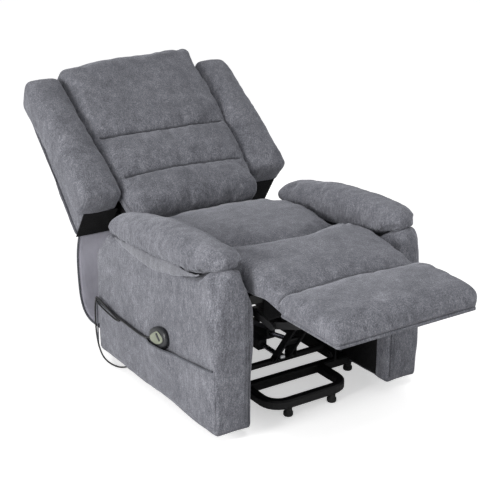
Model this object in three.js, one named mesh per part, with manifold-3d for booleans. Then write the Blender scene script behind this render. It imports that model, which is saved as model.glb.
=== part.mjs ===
// Power lift recliner armchair: padded back with winged sides, pillow arms, one continuous seat and leg rest,
// a steel lifting base with a four-bar lift, two linear actuators, a folding leg rest and a wired handset.
// Millimetres, +Z up. The sitter faces -Y and +X is the sitter's left. The origin is on the floor, under the middle
// of the chair as posed: leg rest out, back reclined, lift down. Shapes are drawn from a
// datum 400 mm behind the front of the arms, and the whole chair is then moved by DATUM_Y.
import * as THREE from "three";
import { mergeVertices } from "three/addons/utils/BufferGeometryUtils.js";
import Module from "manifold-3d";

const wasm = await Module();
wasm.setup();

// ---- driving dimensions ----
const DATUM_Y = 49.8; // distance from the drawing datum to the origin
const GAP = 0.4; // clearance between neighbouring pieces
const ARM_IN = 262, ARM_OUT = 380; // arm box, inner and outer face
const ARM_FRONT = -400, ARM_REAR = 335, ARM_BOTTOM = 36;
const PAD_IN = 256, PAD_OUT = 408; // pillow arm pad
const SEAT_HALF = 250; // seat and leg rest half width
const TUBE = 30, FOOT_H = 28; // base tube side, foot height
const BASE_Z = FOOT_H + TUBE / 2; // base tube centre height
const FRONT_Y = -192, FRONT_X = 292, REAR_Y = 300, RAIL_X = 240; // base cross tubes and side rails
const LOOP_X = 143, LOOP_Y = -342, LOOP_R = 55; // bent front loop
const LIFT_F = [-190, 74], LIFT_F2 = [127, 119]; // lower lift arm: base pivot, chassis pivot
const LIFT_G = [-155, 136], LIFT_G2 = [315, 265]; // upper lift link: base pivot, chassis pivot
const TORQUE = [-150, 86]; // torque tube of the lift arms
const LIFT_P = [-153, 143]; // lift actuator pin on the torque tube lever
const LIFT_R = [285, 70]; // lift actuator pin on the base
const LIFT_X = 62; // lift actuator plane
const YOKE_T = [-333, 325], YOKE_P = [-183, 112]; // drive yoke: top pivot, actuator pin
const LEG_R = [205, 120]; // leg-rest actuator pin on the chassis
const LINK_A = [-329, 386], LINK_J = [-449.0, 370.2], LINK_B = [-563, 412]; // leg-rest scissor pivots
const REAR_TUBE = [230, 120]; // chassis rear cross tube
const BACK_PIVOT = [330, 400];
const ORIGIN_S = [404, 595], TILT_U = [0.80593, 0.59201]; // back cushion reference and its direction up the back
const DECK_Z = 438, CUSHION_Z = 446;
const PIN_R = 6, BORE_R = 6.7;

// ---- materials ----
const mat = (color, roughness, metalness = 0) =>
  new THREE.MeshStandardMaterial({ color, roughness, metalness });
const M = {
  chenille: mat(0x6b6d74, 0.95),
  dust: mat(0x121214, 0.98),
  lining: mat(0x8f8d97, 0.95),
  steel: mat(0x111112, 0.38, 0.6),
  zinc: mat(0x55575a, 0.35, 0.9),
  spring: mat(0x2a2b2d, 0.4, 0.8),
  board: mat(0xb08d5c, 0.8),
  rubber: mat(0x0c0c0c, 0.8),
  plastic: mat(0x17181a, 0.5),
  face: mat(0x767a68, 0.55),
  cable: mat(0x0e0e10, 0.6),
  rod: mat(0x9a9ca0, 0.25, 0.95),
};

// ---- solids ----
function solid(geometry) {
  const g = geometry.index ? geometry.toNonIndexed() : geometry.clone();
  g.deleteAttribute("normal");
  g.deleteAttribute("uv");
  const m = mergeVertices(g, 1e-3);
  return new wasm.Manifold(
    new wasm.Mesh({
      numProp: 3,
      vertProperties: new Float32Array(m.attributes.position.array),
      triVerts: new Uint32Array(m.index.array),
    }),
  );
}
function geometryOf(s) {
  const m = s.getMesh();
  const v = new Float32Array(m.numVert * 3);
  for (let i = 0; i < m.numVert; i++)
    v.set(m.vertProperties.subarray(i * m.numProp, i * m.numProp + 3), i * 3);
  const g = new THREE.BufferGeometry();
  g.setAttribute("position", new THREE.BufferAttribute(v, 3));
  g.setIndex(new THREE.BufferAttribute(new Uint32Array(m.triVerts), 1));
  const flat = g.toNonIndexed();
  flat.computeVertexNormals();
  return flat;
}
const join = (...parts) => parts.map((p) => (p.isBufferGeometry ? solid(p) : p)).reduce((a, b) => a.add(b));
const cut = (a, ...tools) =>
  tools.map((p) => (p.isBufferGeometry ? solid(p) : p)).reduce((s, b) => s.subtract(b), a.isBufferGeometry ? solid(a) : a);
const meet = (a, b) => (a.isBufferGeometry ? solid(a) : a).intersect(b.isBufferGeometry ? solid(b) : b);

// A plate or pad: a closed outline in the (y, z) plane, extruded along x from x0 to x1.
function slab(outline, x0, x1) {
  const shape = new THREE.Shape(outline.map(([y, z]) => new THREE.Vector2(y, z)));
  const g = new THREE.ExtrudeGeometry(shape, { depth: x1 - x0, bevelEnabled: false, steps: 1 });
  // shape x -> world y, shape y -> world z, depth -> world x
  g.applyMatrix4(new THREE.Matrix4().set(0, 0, 1, x0, 1, 0, 0, 0, 0, 1, 0, 0, 0, 0, 0, 1));
  return g;
}
const sides = (outline, s, inner, outer) => slab(outline, s > 0 ? inner : -outer, s > 0 ? outer : -inner);
const box = (x0, x1, y0, y1, z0, z1) =>
  new THREE.BoxGeometry(x1 - x0, y1 - y0, z1 - z0).translate((x0 + x1) / 2, (y0 + y1) / 2, (z0 + z1) / 2);
// A round bar along x.
const pinX = (x0, x1, [y, z], r, n = 16) =>
  new THREE.CylinderGeometry(r, r, Math.abs(x1 - x0), n)
    .rotateZ(Math.PI / 2)
    .translate((x0 + x1) / 2, y, z);
const pinS = (s, inner, outer, p, r, n) => pinX(s * inner, s * outer, p, r, n);
// A round bar between two points.
function bar(a, b, r, n = 12) {
  const A = new THREE.Vector3(...a), B = new THREE.Vector3(...b), d = B.clone().sub(A);
  const g = new THREE.CylinderGeometry(r, r, d.length(), n);
  g.applyQuaternion(new THREE.Quaternion().setFromUnitVectors(new THREE.Vector3(0, 1, 0), d.clone().normalize()));
  const c = A.add(B).multiplyScalar(0.5);
  return g.translate(c.x, c.y, c.z);
}
// A flat link with round ends between two points of the (y, z) plane.
function linkOutline([y0, z0], [y1, z1], w, n = 6) {
  const a = Math.atan2(z1 - z0, y1 - y0), out = [];
  for (let i = 0; i <= n; i++) {
    const t = a + Math.PI / 2 + (Math.PI * i) / n;
    out.push([y0 + w * Math.cos(t), z0 + w * Math.sin(t)]);
  }
  for (let i = 0; i <= n; i++) {
    const t = a - Math.PI / 2 + (Math.PI * i) / n;
    out.push([y1 + w * Math.cos(t), z1 + w * Math.sin(t)]);
  }
  return out;
}
// A square tube with chamfered corners swept along a curve.
function tube(curve, half, steps, chamfer = 4) {
  const c = half - chamfer;
  const s = new THREE.Shape(
    [[half, c], [c, half], [-c, half], [-half, c], [-half, -c], [-c, -half], [c, -half], [half, -c]].map(
      ([x, y]) => new THREE.Vector2(x, y),
    ),
  );
  return new THREE.ExtrudeGeometry(s, { steps, extrudePath: curve, bevelEnabled: false });
}
// A straight square tube with chamfered edges, between two corners of its centreline.
function squareTube(a, b, half = TUBE / 2, chamfer = 4) {
  return tube(new THREE.LineCurve3(new THREE.Vector3(...a), new THREE.Vector3(...b)), half, 1, chamfer);
}
// A point of the back: u up the back from the lower cushion seam, n out of its front face.
const back = ([u, n]) => [ORIGIN_S[0] + u * TILT_U[0] - n * TILT_U[1], ORIGIN_S[1] + u * TILT_U[1] + n * TILT_U[0]];

const root = new THREE.Group();
const chair = new THREE.Group();
chair.position.set(0, -DATUM_Y, 0);
root.add(chair);
function put(name, thing, material) {
  const g = thing.isBufferGeometry ? thing : geometryOf(thing);
  const mesh = new THREE.Mesh(g, material);
  mesh.name = name;
  chair.add(mesh);
}
const SIDE = [["left", 1], ["right", -1]];

// ---- base frame ----
{
  const q = Math.PI / 2, pts = [new THREE.Vector3(-LOOP_X, FRONT_Y - 4, BASE_Z)];
  const arc = (cx, cy, a0, a1) => {
    for (let i = 0; i <= 6; i++) {
      const a = a0 + ((a1 - a0) * i) / 6;
      pts.push(new THREE.Vector3(cx + LOOP_R * Math.cos(a), cy + LOOP_R * Math.sin(a), BASE_Z));
    }
  };
  arc(-LOOP_X + LOOP_R, LOOP_Y + LOOP_R, Math.PI, Math.PI + q);
  arc(LOOP_X - LOOP_R, LOOP_Y + LOOP_R, -q, 0);
  pts.push(new THREE.Vector3(LOOP_X, FRONT_Y - 4, BASE_Z));
  const path = new THREE.CurvePath();
  for (let i = 1; i < pts.length; i++) path.add(new THREE.LineCurve3(pts[i - 1], pts[i]));
  // one ring of the sweep on every corner of the path
  const lens = path.getCurveLengths(), total = lens[lens.length - 1];
  const stops = [0, ...lens.map((l) => l / total)];
  class Loop extends THREE.Curve {
    getPoint(t, target = new THREE.Vector3()) {
      const i = Math.round(t * (pts.length - 1));
      return target.copy(pts[Math.min(i, pts.length - 1)]);
    }
    getPointAt(t, target) { return this.getPoint(t, target); }
    getTangentAt(t, target = new THREE.Vector3()) {
      const i = Math.round(t * (pts.length - 1));
      const a = pts[Math.max(i - 1, 0)], b = pts[Math.min(i + 1, pts.length - 1)];
      return target.copy(b).sub(a).normalize();
    }
    getTangent(t, target) { return this.getTangentAt(t, target); }
  }
  const loop = tube(new Loop(), TUBE / 2, pts.length - 1, 5);
  let frame = join(
    squareTube([-FRONT_X, FRONT_Y, BASE_Z], [FRONT_X, FRONT_Y, BASE_Z]),
    loop,
    squareTube([-255, REAR_Y, BASE_Z], [255, REAR_Y, BASE_Z]),
    squareTube([-RAIL_X, FRONT_Y, BASE_Z], [-RAIL_X, REAR_Y, BASE_Z]),
    squareTube([RAIL_X, FRONT_Y, BASE_Z], [RAIL_X, REAR_Y, BASE_Z]),
  );
  const ear = [[-207, 50], [-177, 50], [-150, 57], [-138, 128], [-142, 148], [-165, 150], [-200, 105], [-207, 88]];
  for (const [, s] of SIDE) frame = frame.add(solid(sides(ear, s, 200, 206)));
  for (const dx of [-14, 10])
    frame = frame.add(solid(slab([[273, 42], [290, 42], [302, 55], [302, 62], [292, 82], [278, 82], [273, 76]], LIFT_X + dx, LIFT_X + dx + 4)));
  for (const [, s] of SIDE)
    frame = cut(frame, pinS(s, 196, 210, LIFT_F, BORE_R), pinS(s, 196, 210, LIFT_G, BORE_R));
  frame = cut(frame, pinX(LIFT_X - 20, LIFT_X + 20, LIFT_R, 5.2));
  put("base_frame", frame, M.steel);
}
// rubber feet under the base tubes
const foot = (x, y) =>
  new THREE.LatheGeometry(
    [[0, 0], [13.5, 0], [15.5, 3], [15.5, 12], [12, 16], [12, FOOT_H - GAP], [0, FOOT_H - GAP]].map(([r, z]) => new THREE.Vector2(r, z)),
    16,
  ).rotateX(Math.PI / 2).translate(x, y, 0);
for (const [n, s] of SIDE) {
  put("foot_front_" + n, foot(s * 84, LOOP_Y), M.rubber);
  put("foot_middle_" + n, foot(s * 268, FRONT_Y), M.rubber);
  put("foot_rear_" + n, foot(s * RAIL_X, REAR_Y), M.rubber);
}

// ---- lift arms: two plates, a torque tube and the actuator lever, welded ----
{
  let arms = solid(pinX(-191, 191, TORQUE, 11, 16));
  for (const [, s] of SIDE) {
    let plate = join(
      sides(linkOutline(LIFT_F, LIFT_F2, 13), s, 188, 194),
      pinS(s, 182, 206.4, LIFT_F, PIN_R),
      pinS(s, 182, 188.5, LIFT_F, 10, 6),
      pinS(s, 206.4, 210, LIFT_F, 9),
    );
    plate = cut(plate, pinS(s, 187, 195, LIFT_F2, BORE_R));
    arms = arms.add(plate);
  }
  const lever = [[-165, 86], [-135, 86], [-141, 140], [-145, 151], [-153, 155], [-161, 151], [-165, 140]];
  for (const dx of [-14, 10]) arms = arms.add(solid(slab(lever, LIFT_X + dx, LIFT_X + dx + 4)));
  for (const dx of [-18, 14]) arms = arms.add(solid(pinX(LIFT_X + dx, LIFT_X + dx + 4.5, LIFT_P, 7, 6)));
  put("lift_arm_frame", arms, M.steel);
}
// ---- upper lift links ----
for (const [n, s] of SIDE) {
  put("lift_link_" + n, join(
    sides(linkOutline(LIFT_G, LIFT_G2, 12), s, 212, 218),
    pinS(s, 199.6, 212.5, LIFT_G, PIN_R),
    pinS(s, 196.2, 199.6, LIFT_G, 9),
    pinS(s, 217.5, 242.6, LIFT_G2, 4.4),
    pinS(s, 242.6, 246, LIFT_G2, 9),
  ), M.steel);
}
// ---- linear actuators: square outer tube with a bore, a motor beside it, a round rod with an eye ----
function actuator(prefix, x, rear, front, open, side, up) {
  const L = Math.hypot(front[0] - rear[0], front[1] - rear[1]);
  const a = Math.atan2(front[1] - rear[1], front[0] - rear[0]);
  const place = (g) => g.rotateX(a).translate(0, rear[0], rear[1]);
  // built along +y from the rear pin, then turned into place
  const body = cut(
    join(
      new THREE.BoxGeometry(32, open - 16, 34).translate(x, 16 + (open - 16) / 2, 0),
      new THREE.BoxGeometry(40, 74, 44).translate(x, 53, 0),
      pinX(x - 9, x + 9, [0, 0], 11, 16),
      box(x - 9, x + 9, 0, 20, -10, 10),
    ),
    bar([x, 36, 0], [x, open + 5, 0], 8.8, 16),
    pinX(x - 12, x + 12, [0, 0], 5.2, 12),
  );
  put(prefix + "_housing", place(geometryOf(body)), M.plastic);
  const motor = join(
    bar([x + side * 44, 22, up], [x + side * 44, 128, up], 21, 20),
    bar([x + side * 44, 126, up], [x + side * 44, 136, up], 12, 12),
    box(x + side * 36 - 15.4, x + side * 36 + 15.4, 24, 84, up - 17, up + 17),
  );
  put(prefix + "_motor", place(geometryOf(motor)), M.plastic);
  const rod = cut(
    join(
      bar([x, 110, 0], [x, L - 14, 0], 8, 16),
      box(x - 8, x + 8, L - 24, L, -9, 9),
      pinX(x - 8, x + 8, [L, 0], 11, 16),
    ),
    pinX(x - 12, x + 12, [L, 0], 4.6, 12),
  );
  put(prefix + "_rod", place(geometryOf(rod)), M.rod);
}
actuator("lift_actuator", LIFT_X, LIFT_R, LIFT_P, 330, 1, 0);
actuator("leg_actuator", 0, LEG_R, YOKE_P, 285, -1, 14);

// ---- chassis: side frames and rear cross tube, welded ----
{
  const outline = [
    [-345, 370], [-345, 431], [248, 431], [262, 424], [338, 422], [346, 406], [346, 252], [338, 240], [250, 104], [214, 104], [214, 136],
    [288, 258], [298, 300], [298, 392], [-300, 392], [-312, 372],
  ];
  let frame = solid(pinX(-237, 237, REAR_TUBE, 12, 16));
  for (const [, s] of SIDE) {
    let plate = cut(
      sides(outline, s, 236, 242),
      pinS(s, 230, 248, LIFT_G2, 6.6),
      pinS(s, 230, 248, BACK_PIVOT, 8.7),
    );
    plate = plate.add(solid(pinS(s, 223.6, 236.5, LINK_A, PIN_R))).add(solid(pinS(s, 220.4, 223.6, LINK_A, 9)));
    const bracket = join(
      sides([[242, 108], [242, 132], [127, 132], [116, 126], [114, 119], [116, 112], [127, 106]], s, 176, 182),
      pinS(s, 181.5, 194.4, LIFT_F2, PIN_R),
      pinS(s, 194.4, 198, LIFT_F2, 9),
    );
    frame = frame.add(plate).add(bracket);
  }
  for (const dx of [-14, 10])
    frame = frame.add(solid(slab([[236, 108], [236, 132], [205, 134], [193, 128], [193, 112], [205, 106]], dx, dx + 4)));
  frame = cut(frame, pinX(-20, 20, LEG_R, 5.2));
  put("chassis_frame", frame, M.steel);
}
// ---- seat frame: four rails and the yoke hangers ----
{
  let seat = join(
    box(-235.5, 235.5, -350, -326, 402, 431),
    box(-235.5, 235.5, 216, 240, 402, 431),
    box(-235.5, -212, -330, 220, 406, 431),
    box(212, 235.5, -330, 220, 406, 431),
  );
  const hanger = [[-336, 404], [-318, 404], [-318, 330], [-323, 313], [-343, 313], [-344.5, 330], [-344.5, 338], [-336, 339]];
  for (const [, s] of SIDE) seat = seat.add(solid(sides(hanger, s, 54, 60)));
  seat = cut(seat, pinX(-70, 70, YOKE_T, 7.2));
  put("seat_frame", seat, M.steel);
}
put("seat_front_apron", box(-190, 190, -354, -350.5, 341, 431), M.dust);
// sinuous seat springs
for (let k = 0; k < 4; k++) {
  const x0 = (k - 1.5) * 104, pts = [new THREE.Vector3(x0, -346, 434.4)];
  const n = 11;
  for (let i = 0; i <= n; i++) {
    const y = -300 + (i * 490) / n, s = i % 2 ? 1 : -1;
    pts.push(new THREE.Vector3(x0 + s * 20, y, 434.4));
    if (i < n) pts.push(new THREE.Vector3(x0 + s * 20, y + 490 / n - 14, 434.4));
  }
  pts.push(new THREE.Vector3(x0, 236, 434.4));
  class Wire extends THREE.Curve {
    getPoint(t, target = new THREE.Vector3()) { return target.copy(pts[Math.round(t * (pts.length - 1))]); }
    getPointAt(t, target) { return this.getPoint(t, target); }
    getTangentAt(t, target = new THREE.Vector3()) {
      const i = Math.round(t * (pts.length - 1));
      return target.copy(pts[Math.min(i + 1, pts.length - 1)]).sub(pts[Math.max(i - 1, 0)]).normalize();
    }
    getTangent(t, target) { return this.getTangentAt(t, target); }
  }
  const h = 2;
  const sq = new THREE.Shape([[h, h], [-h, h], [-h, -h], [h, -h]].map(([x, y]) => new THREE.Vector2(x, y)));
  put("seat_spring_" + (k + 1), new THREE.ExtrudeGeometry(sq, { steps: pts.length - 1, extrudePath: new Wire(), bevelEnabled: false }), M.spring);
}
put("seat_deck", box(-228, 228, -346, 236, DECK_Z, DECK_Z + 3), M.dust);
put("seat_cushion_rear", slab([[-127.5, CUSHION_Z], [-127.5, 502], [-60, 510], [31, 515], [140, 506], [228, 494], [228, CUSHION_Z]], -SEAT_HALF, SEAT_HALF), M.chenille);
put("seat_cushion_front", slab([[-372, CUSHION_Z], [-372, 510], [-340, 524], [-254, 530], [-170, 516], [-129, 502], [-129, CUSHION_Z]], -SEAT_HALF, SEAT_HALF), M.chenille);
put("seat_bridge_pad", slab([[-505, 498], [-505, 480], [-490, 457], [-465, 439.5], [-438, 435], [-400, 440.5], [-376, CUSHION_Z], [-376, 506], [-440, 504]], -248, 248), M.chenille);

// ---- arms ----
const ARM = [
  [ARM_FRONT + 2, ARM_BOTTOM], [ARM_FRONT, 44], [ARM_FRONT, 522], [ARM_FRONT + 8, 530], [-340, 530], [-300, 497], [-16, 455], [142, 465], [200, 478], [240, 475],
  [ARM_REAR, 380], [ARM_REAR, ARM_BOTTOM],
];
const PAD = [
  [-398, 562], [-400, 548], [-392, 534], [-338, 534], [-298, 501], [-16, 459], [142, 469], [200, 482], [242, 479],
  [266, 470], [270, 482], [256, 506], [222, 530], [142, 556], [85, 568], [0, 586], [-100, 598], [-190, 602], [-300, 600], [-352, 594], [-384, 580],
];
for (const [n, s] of SIDE) {
  // the arm and its inner panel are notched over the end of the base's front cross tube
  const notch = sides([[FRONT_Y - 22, 20], [FRONT_Y - 22, 66], [FRONT_Y + 22, 66], [FRONT_Y + 22, 20]], s, 250, FRONT_X + 9);
  put("arm_box_" + n, cut(sides(ARM, s, ARM_IN, ARM_OUT), notch), M.chenille);
  put("arm_pad_" + n, sides(PAD, s, PAD_IN, PAD_OUT), M.chenille);
  put("arm_inner_panel_" + n, cut(sides([[-343, 48], [-343, 452], [-20, 452], [300, 440], [310, 380], [310, 48]], s, 257.4, 261.5), notch), M.dust);
  put("arm_bracket_" + n, join(
    sides([[-220, 398], [-220, 430], [180, 430], [180, 398]], s, 242.5, 246),
    sides([[-220, 398], [-220, 402], [180, 402], [180, 398]], s, 242.5, 257),
    sides([[-220, 426], [-220, 430], [180, 430], [180, 426]], s, 242.5, 257),
  ), M.steel);
}
// storage pocket on the right arm, a cloth panel that bulges round the handset and opens at its top edge
{
  const wall = new THREE.Shape([
    [-361, 380.5], [-361, 384.5], [-196, 386.5], [-174, 407.8], [-26, 407.8], [-4, 386.5], [320, 384.5], [320, 380.5],
    [316, 380.5], [-3, 382.5], [-28, 404.4], [-172, 404.4], [-197, 382.5], [-357, 380.5],
  ].map(([y, x]) => new THREE.Vector2(-x, y)));
  const g = new THREE.ExtrudeGeometry(wall, { depth: 200, bevelEnabled: false, steps: 1 }).translate(0, 0, 42);
  const side = slab([[-370, 30], [-370, 240], [-212, 221], [-160, 222], [-80, 217], [-40, 211], [0, 204], [340, 214], [340, 30]], -410, -375);
  // closed along its lower edge
  const hem = slab([[-360, 42], [-360, 46], [319, 46], [319, 42]], -384, -381);
  put("side_pocket", join(meet(g, side), hem), M.chenille);
}
// handset: rounded shell with a face plate and two rocker buttons in a long recess
{
  const oval = (w, h, r, n = 5) => {
    const out = [];
    for (const [cx, cy, a0] of [[w - r, h - r, 0], [-w + r, h - r, 1], [-w + r, -h + r, 2], [w - r, -h + r, 3]])
      for (let i = 0; i <= n; i++) {
        const a = ((a0 + i / n) * Math.PI) / 2;
        out.push([cx + r * Math.cos(a), cy + r * Math.sin(a)]);
      }
    return out;
  };
  const C = [-100, 244], K = [-114, 254.5]; // middle of the shell, middle of the button recess
  const place = (pts, at = C, turn = -0.3) => pts.map(([a, b]) => [at[0] + a * Math.cos(turn) - b * Math.sin(turn), at[1] + a * Math.sin(turn) + b * Math.cos(turn)]);
  const PLATE = [
    [-104, 270.5], [-84, 258], [-66, 243], [-62, 235.5], [-68, 228], [-82, 225], [-100, 226], [-120, 233], [-136, 243], [-141, 252], [-137, 261], [-124, 268], [-113, 271.5],
  ];
  const spread = (k) => PLATE.map(([y, z]) => [-102 + (y + 102) * k, 247 + (z - 247) * k]);
  const shell = cut(
    join(slab(place(oval(52, 34, 32)), -395, -382), slab(place(oval(47, 30, 28)), -401.6, -382)),
    slab(spread(1.015), -410, -398.4),
  );
  put("handset_shell", shell, M.plastic);
  put("handset_face", cut(
    slab(spread(1), -402.2, -398.8),
    slab(place(oval(14, 5, 1), K, 0.705), -410, -400.4),
  ), M.face);
  put("handset_button_up", slab(place([[0.8, -4], [13, -4], [13, 4], [0.8, 4]], K, 0.705), -403.6, -402 + 0.1), M.plastic);
  put("handset_button_down", slab(place([[-13, -4], [-0.8, -4], [-0.8, 4], [-13, 4]], K, 0.705), -403.6, -402 + 0.1), M.plastic);
}
// handset cable: out of the handset, along the pocket mouth, down the rear corner and under the arm
{
  const c = new THREE.CatmullRomCurve3(
    [[-391.5, -47.8, 227.4], [-391.5, -10, 212], [-390.5, 60, 207], [-390.5, 120, 209], [-390.5, 188, 212], [-390.5, 250, 222], [-390, 296, 230],
      [-389, 326, 222], [-388, 338, 196], [-388, 340, 150], [-388, 339, 106], [-388.5, 334, 70], [-389, 324, 42], [-389, 300, 22], [-384, 262, 12],
      [-376, 224, 12], [-364, 198, 15], [-342, 182, 21], [-310, 176, 28]].map((p) => new THREE.Vector3(...p)),
    false, "centripetal",
  );
  const s = new THREE.Shape();
  for (let i = 0; i < 8; i++) {
    const a = (i * Math.PI) / 4;
    if (i) s.lineTo(3 * Math.cos(a), 3 * Math.sin(a));
    else s.moveTo(3, 0);
  }
  put("handset_cable", new THREE.ExtrudeGeometry(s, { steps: 52, extrudePath: c, bevelEnabled: false }), M.cable);
}
put("control_box", box(-170, -80, 118, 215.5, 384, 430), M.plastic);
put("power_supply", box(80, 150, 110, 215.5, 388, 430), M.plastic);
// cloth flap that closes the rear between the base of the back and the chassis
put("rear_flap", slab([[374, 105], [378, 109], [422, 112], [464, 133], [489, 190], [496, 279], [490, 366], [493, 367], [499.5, 279], [492.5, 188], [467, 130], [423, 108]], -372, 372), M.lining);
put("rear_flap_rail", join(slab([[338, 84], [338, 104.5], [384, 104.5], [384, 101], [342, 101], [342, 84]], -372, 372)), M.steel);

// ---- back ----
{
  let frame = solid(slab([[-150, -125], [-150, -101], [-126, -101], [-126, -125]].map(back), -235, 235));
  for (const [, s] of SIDE) frame = frame.add(solid(sides([[-150, -125], [-150, -101], [478, -101], [478, -111], [250, -125]].map(back), s, 213, 235)));
  for (const [u0, w] of [[120, 24], [300, 24], [452, 26]])
    frame = frame.add(solid(slab([[u0, -111], [u0, -101], [u0 + w, -101], [u0 + w, -111]].map(back), -230, 230)));
  for (const [, s] of SIDE) {
    const bracket = join(
      sides([[-190, -122], [-186, -104], [-170, -98], [-100, -98.5], [-60, -98.5], [-60, -128], [-170, -130], [-184, -128]].map(back), s, 228, 234),
      pinS(s, 233.5, 242.4, BACK_PIVOT, 8),
      pinS(s, 242.4, 246.4, BACK_PIVOT, 12),
    );
    frame = frame.add(bracket);
  }
  put("back_frame", frame, M.steel);
}
put("back_cushion", join(
  slab([[-150, -40], [-150, -96], [-40, -96], [-40, 0], [-100, 0], [-138, -16]].map(back), -252, 252),
  slab([[-48, -96], [510, -96], [524, -66], [524, -26], [506, 0], [-48, 0]].map(back), -272, 272),
), M.chenille);
for (const [n, s] of SIDE) {
  put("back_wing_" + n, sides([[-50, 0], [-48, 8], [455, 10], [476, -6], [496, -98], [500, -112], [-61, -218], [-52, -107]].map(back), s, 276, 404), M.chenille);
}
put("outside_back", slab([[496, -113.5], [500, -116], [-61, -222], [-61, -219.2]].map(back), -398, 398), M.chenille);
put("back_inner_lining", slab([[-58, -214], [-62, -219], [-40, -132], [-38, -134]].map(back), -270, 270), M.dust);

// ---- leg rest ----
put("leg_rest_board", box(-236, 236, -768, -516, 422.3, 436.9), M.board);
put("leg_rest_pad", slab([[-512, 437.3], [-512, 484], [-557, 500], [-634, 503], [-729, 497], [-772, 480], [-776, 462], [-767, 437.3]], -SEAT_HALF, SEAT_HALF), M.chenille);
for (const [n, s] of SIDE) {
  put("leg_bracket_" + n, join(
    sides([[-600, 421.8], [-541, 421.8], [-553, 402], [-573, 402], [-586, 410]], s, 200, 206),
    pinS(s, 205.5, 218.4, LINK_B, PIN_R),
    pinS(s, 218.4, 221.6, LINK_B, 9),
  ), M.steel);
  put("leg_link_rear_" + n, cut(join(
    sides(linkOutline(LINK_A, LINK_J, 10), s, 224, 230),
    pinS(s, 220.5, 224.5, LINK_J, 9),
  ), pinS(s, 220, 232, LINK_A, BORE_R)), M.steel);
  put("leg_link_front_" + n, cut(join(
    sides(linkOutline(LINK_B, LINK_J, 10), s, 212, 218),
    pinS(s, 217.5, 219.8, LINK_J, 9),
  ), pinS(s, 210, 220, LINK_B, BORE_R)), M.steel);
}
// drive yoke: a torque tube with two parallel bars and two rungs, hung from the seat frame
{
  let yoke = solid(pinX(-53.4, 53.4, YOKE_T, 10, 16));
  for (const s of [-1, 1]) yoke = yoke.add(solid(slab(linkOutline(YOKE_T, YOKE_P, 10), s > 0 ? 22 : -32, s > 0 ? 32 : -22)));
  const at = (k) => [YOKE_T[0] + (YOKE_P[0] - YOKE_T[0]) * k, YOKE_T[1] + (YOKE_P[1] - YOKE_T[1]) * k];
  for (const k of [0.28, 0.66]) {
    const [a, b] = [at(k - 0.05), at(k + 0.05)];
    yoke = yoke.add(solid(slab(linkOutline(a, b, 4, 3), -26, 26)));
  }
  for (const s of [-1, 1]) yoke = yoke.add(solid(pinX(s * 53, s * 60.4, YOKE_T, 6))).add(solid(pinX(s * 60.4, s * 64, YOKE_T, 9)));
  for (const s of [-1, 1]) yoke = yoke.add(solid(pinX(s * 31.5, s * 36.5, YOKE_P, 8, 6)));
  put("leg_drive_yoke", yoke, M.steel);
}

export default root;
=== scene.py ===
import math
import bmesh
import bpy
import numpy as np
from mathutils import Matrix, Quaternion, Vector


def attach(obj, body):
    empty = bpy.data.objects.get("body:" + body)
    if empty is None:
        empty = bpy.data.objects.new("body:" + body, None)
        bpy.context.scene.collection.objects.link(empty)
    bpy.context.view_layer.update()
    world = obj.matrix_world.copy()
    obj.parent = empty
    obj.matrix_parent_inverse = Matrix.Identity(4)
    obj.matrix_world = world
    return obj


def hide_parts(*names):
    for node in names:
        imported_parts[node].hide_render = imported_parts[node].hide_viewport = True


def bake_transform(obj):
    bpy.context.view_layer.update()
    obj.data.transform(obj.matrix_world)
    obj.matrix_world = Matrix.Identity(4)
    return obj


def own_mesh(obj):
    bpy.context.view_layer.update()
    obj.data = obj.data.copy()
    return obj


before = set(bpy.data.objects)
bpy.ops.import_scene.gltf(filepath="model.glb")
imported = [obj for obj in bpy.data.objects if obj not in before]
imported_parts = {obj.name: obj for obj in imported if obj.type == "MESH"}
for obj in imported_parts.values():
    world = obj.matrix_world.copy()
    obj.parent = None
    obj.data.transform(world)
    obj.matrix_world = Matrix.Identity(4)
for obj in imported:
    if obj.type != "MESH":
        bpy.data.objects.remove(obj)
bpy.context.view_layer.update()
SIDES = {"left": 1, "right": -1}  # sign of x

SHIFT = 49.8  # from the drawing datum to the scene's origin, along y
UP_Y, UP_Z = 0.80593, 0.59201  # direction up the back
BACK_Y, BACK_Z = 404.0, 595.0  # origin of the back's axes
OUT = np.array([0, -UP_Z, UP_Y])  # direction out of the back's face


# ---------------------------------------------------------------- axes and units
def to_scene(points):
    """Drawing mm to scene metres."""
    scene = np.array(points, float).reshape(-1, 3).copy()
    scene[:, 1] -= SHIFT
    return scene / 1000


def to_mm(points):
    drawn = np.array(points, float).reshape(-1, 3) * 1000
    drawn[:, 1] += SHIFT
    return drawn


def place(x, y, z):
    return tuple(to_scene([(x, y, z)])[0])


def from_back(points):
    """(x, up, out) to (x, y, z)."""
    x, up, out = np.array(points, float).T
    return np.c_[x, BACK_Y + up * UP_Y - out * UP_Z, BACK_Z + up * UP_Z + out * UP_Y]


def to_back(points):
    y, z = points[:, 1] - BACK_Y, points[:, 2] - BACK_Z
    return np.c_[points[:, 0], y * UP_Y + z * UP_Z, -y * UP_Z + z * UP_Y]


# ---------------------------------------------------------------- profiles
def linear(value, start, length):
    """0 at start, 1 at start + length; a negative length rises toward lower values."""
    return np.clip((value - start) / length, 0, 1)


def ease(value, start, length):
    """Like linear, but eased at both ends."""
    t = linear(value, start, length)
    return t * t * (3 - 2 * t)


def bell(distance, width, power=2):
    """1 at distance 0, falling away over the width on both sides."""
    return np.exp(-((distance / width) ** power))


def decay(distance, length):
    """1 up to distance 0, then dying out over the length."""
    return np.exp(-np.clip(distance, 0, None) / length)


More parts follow.
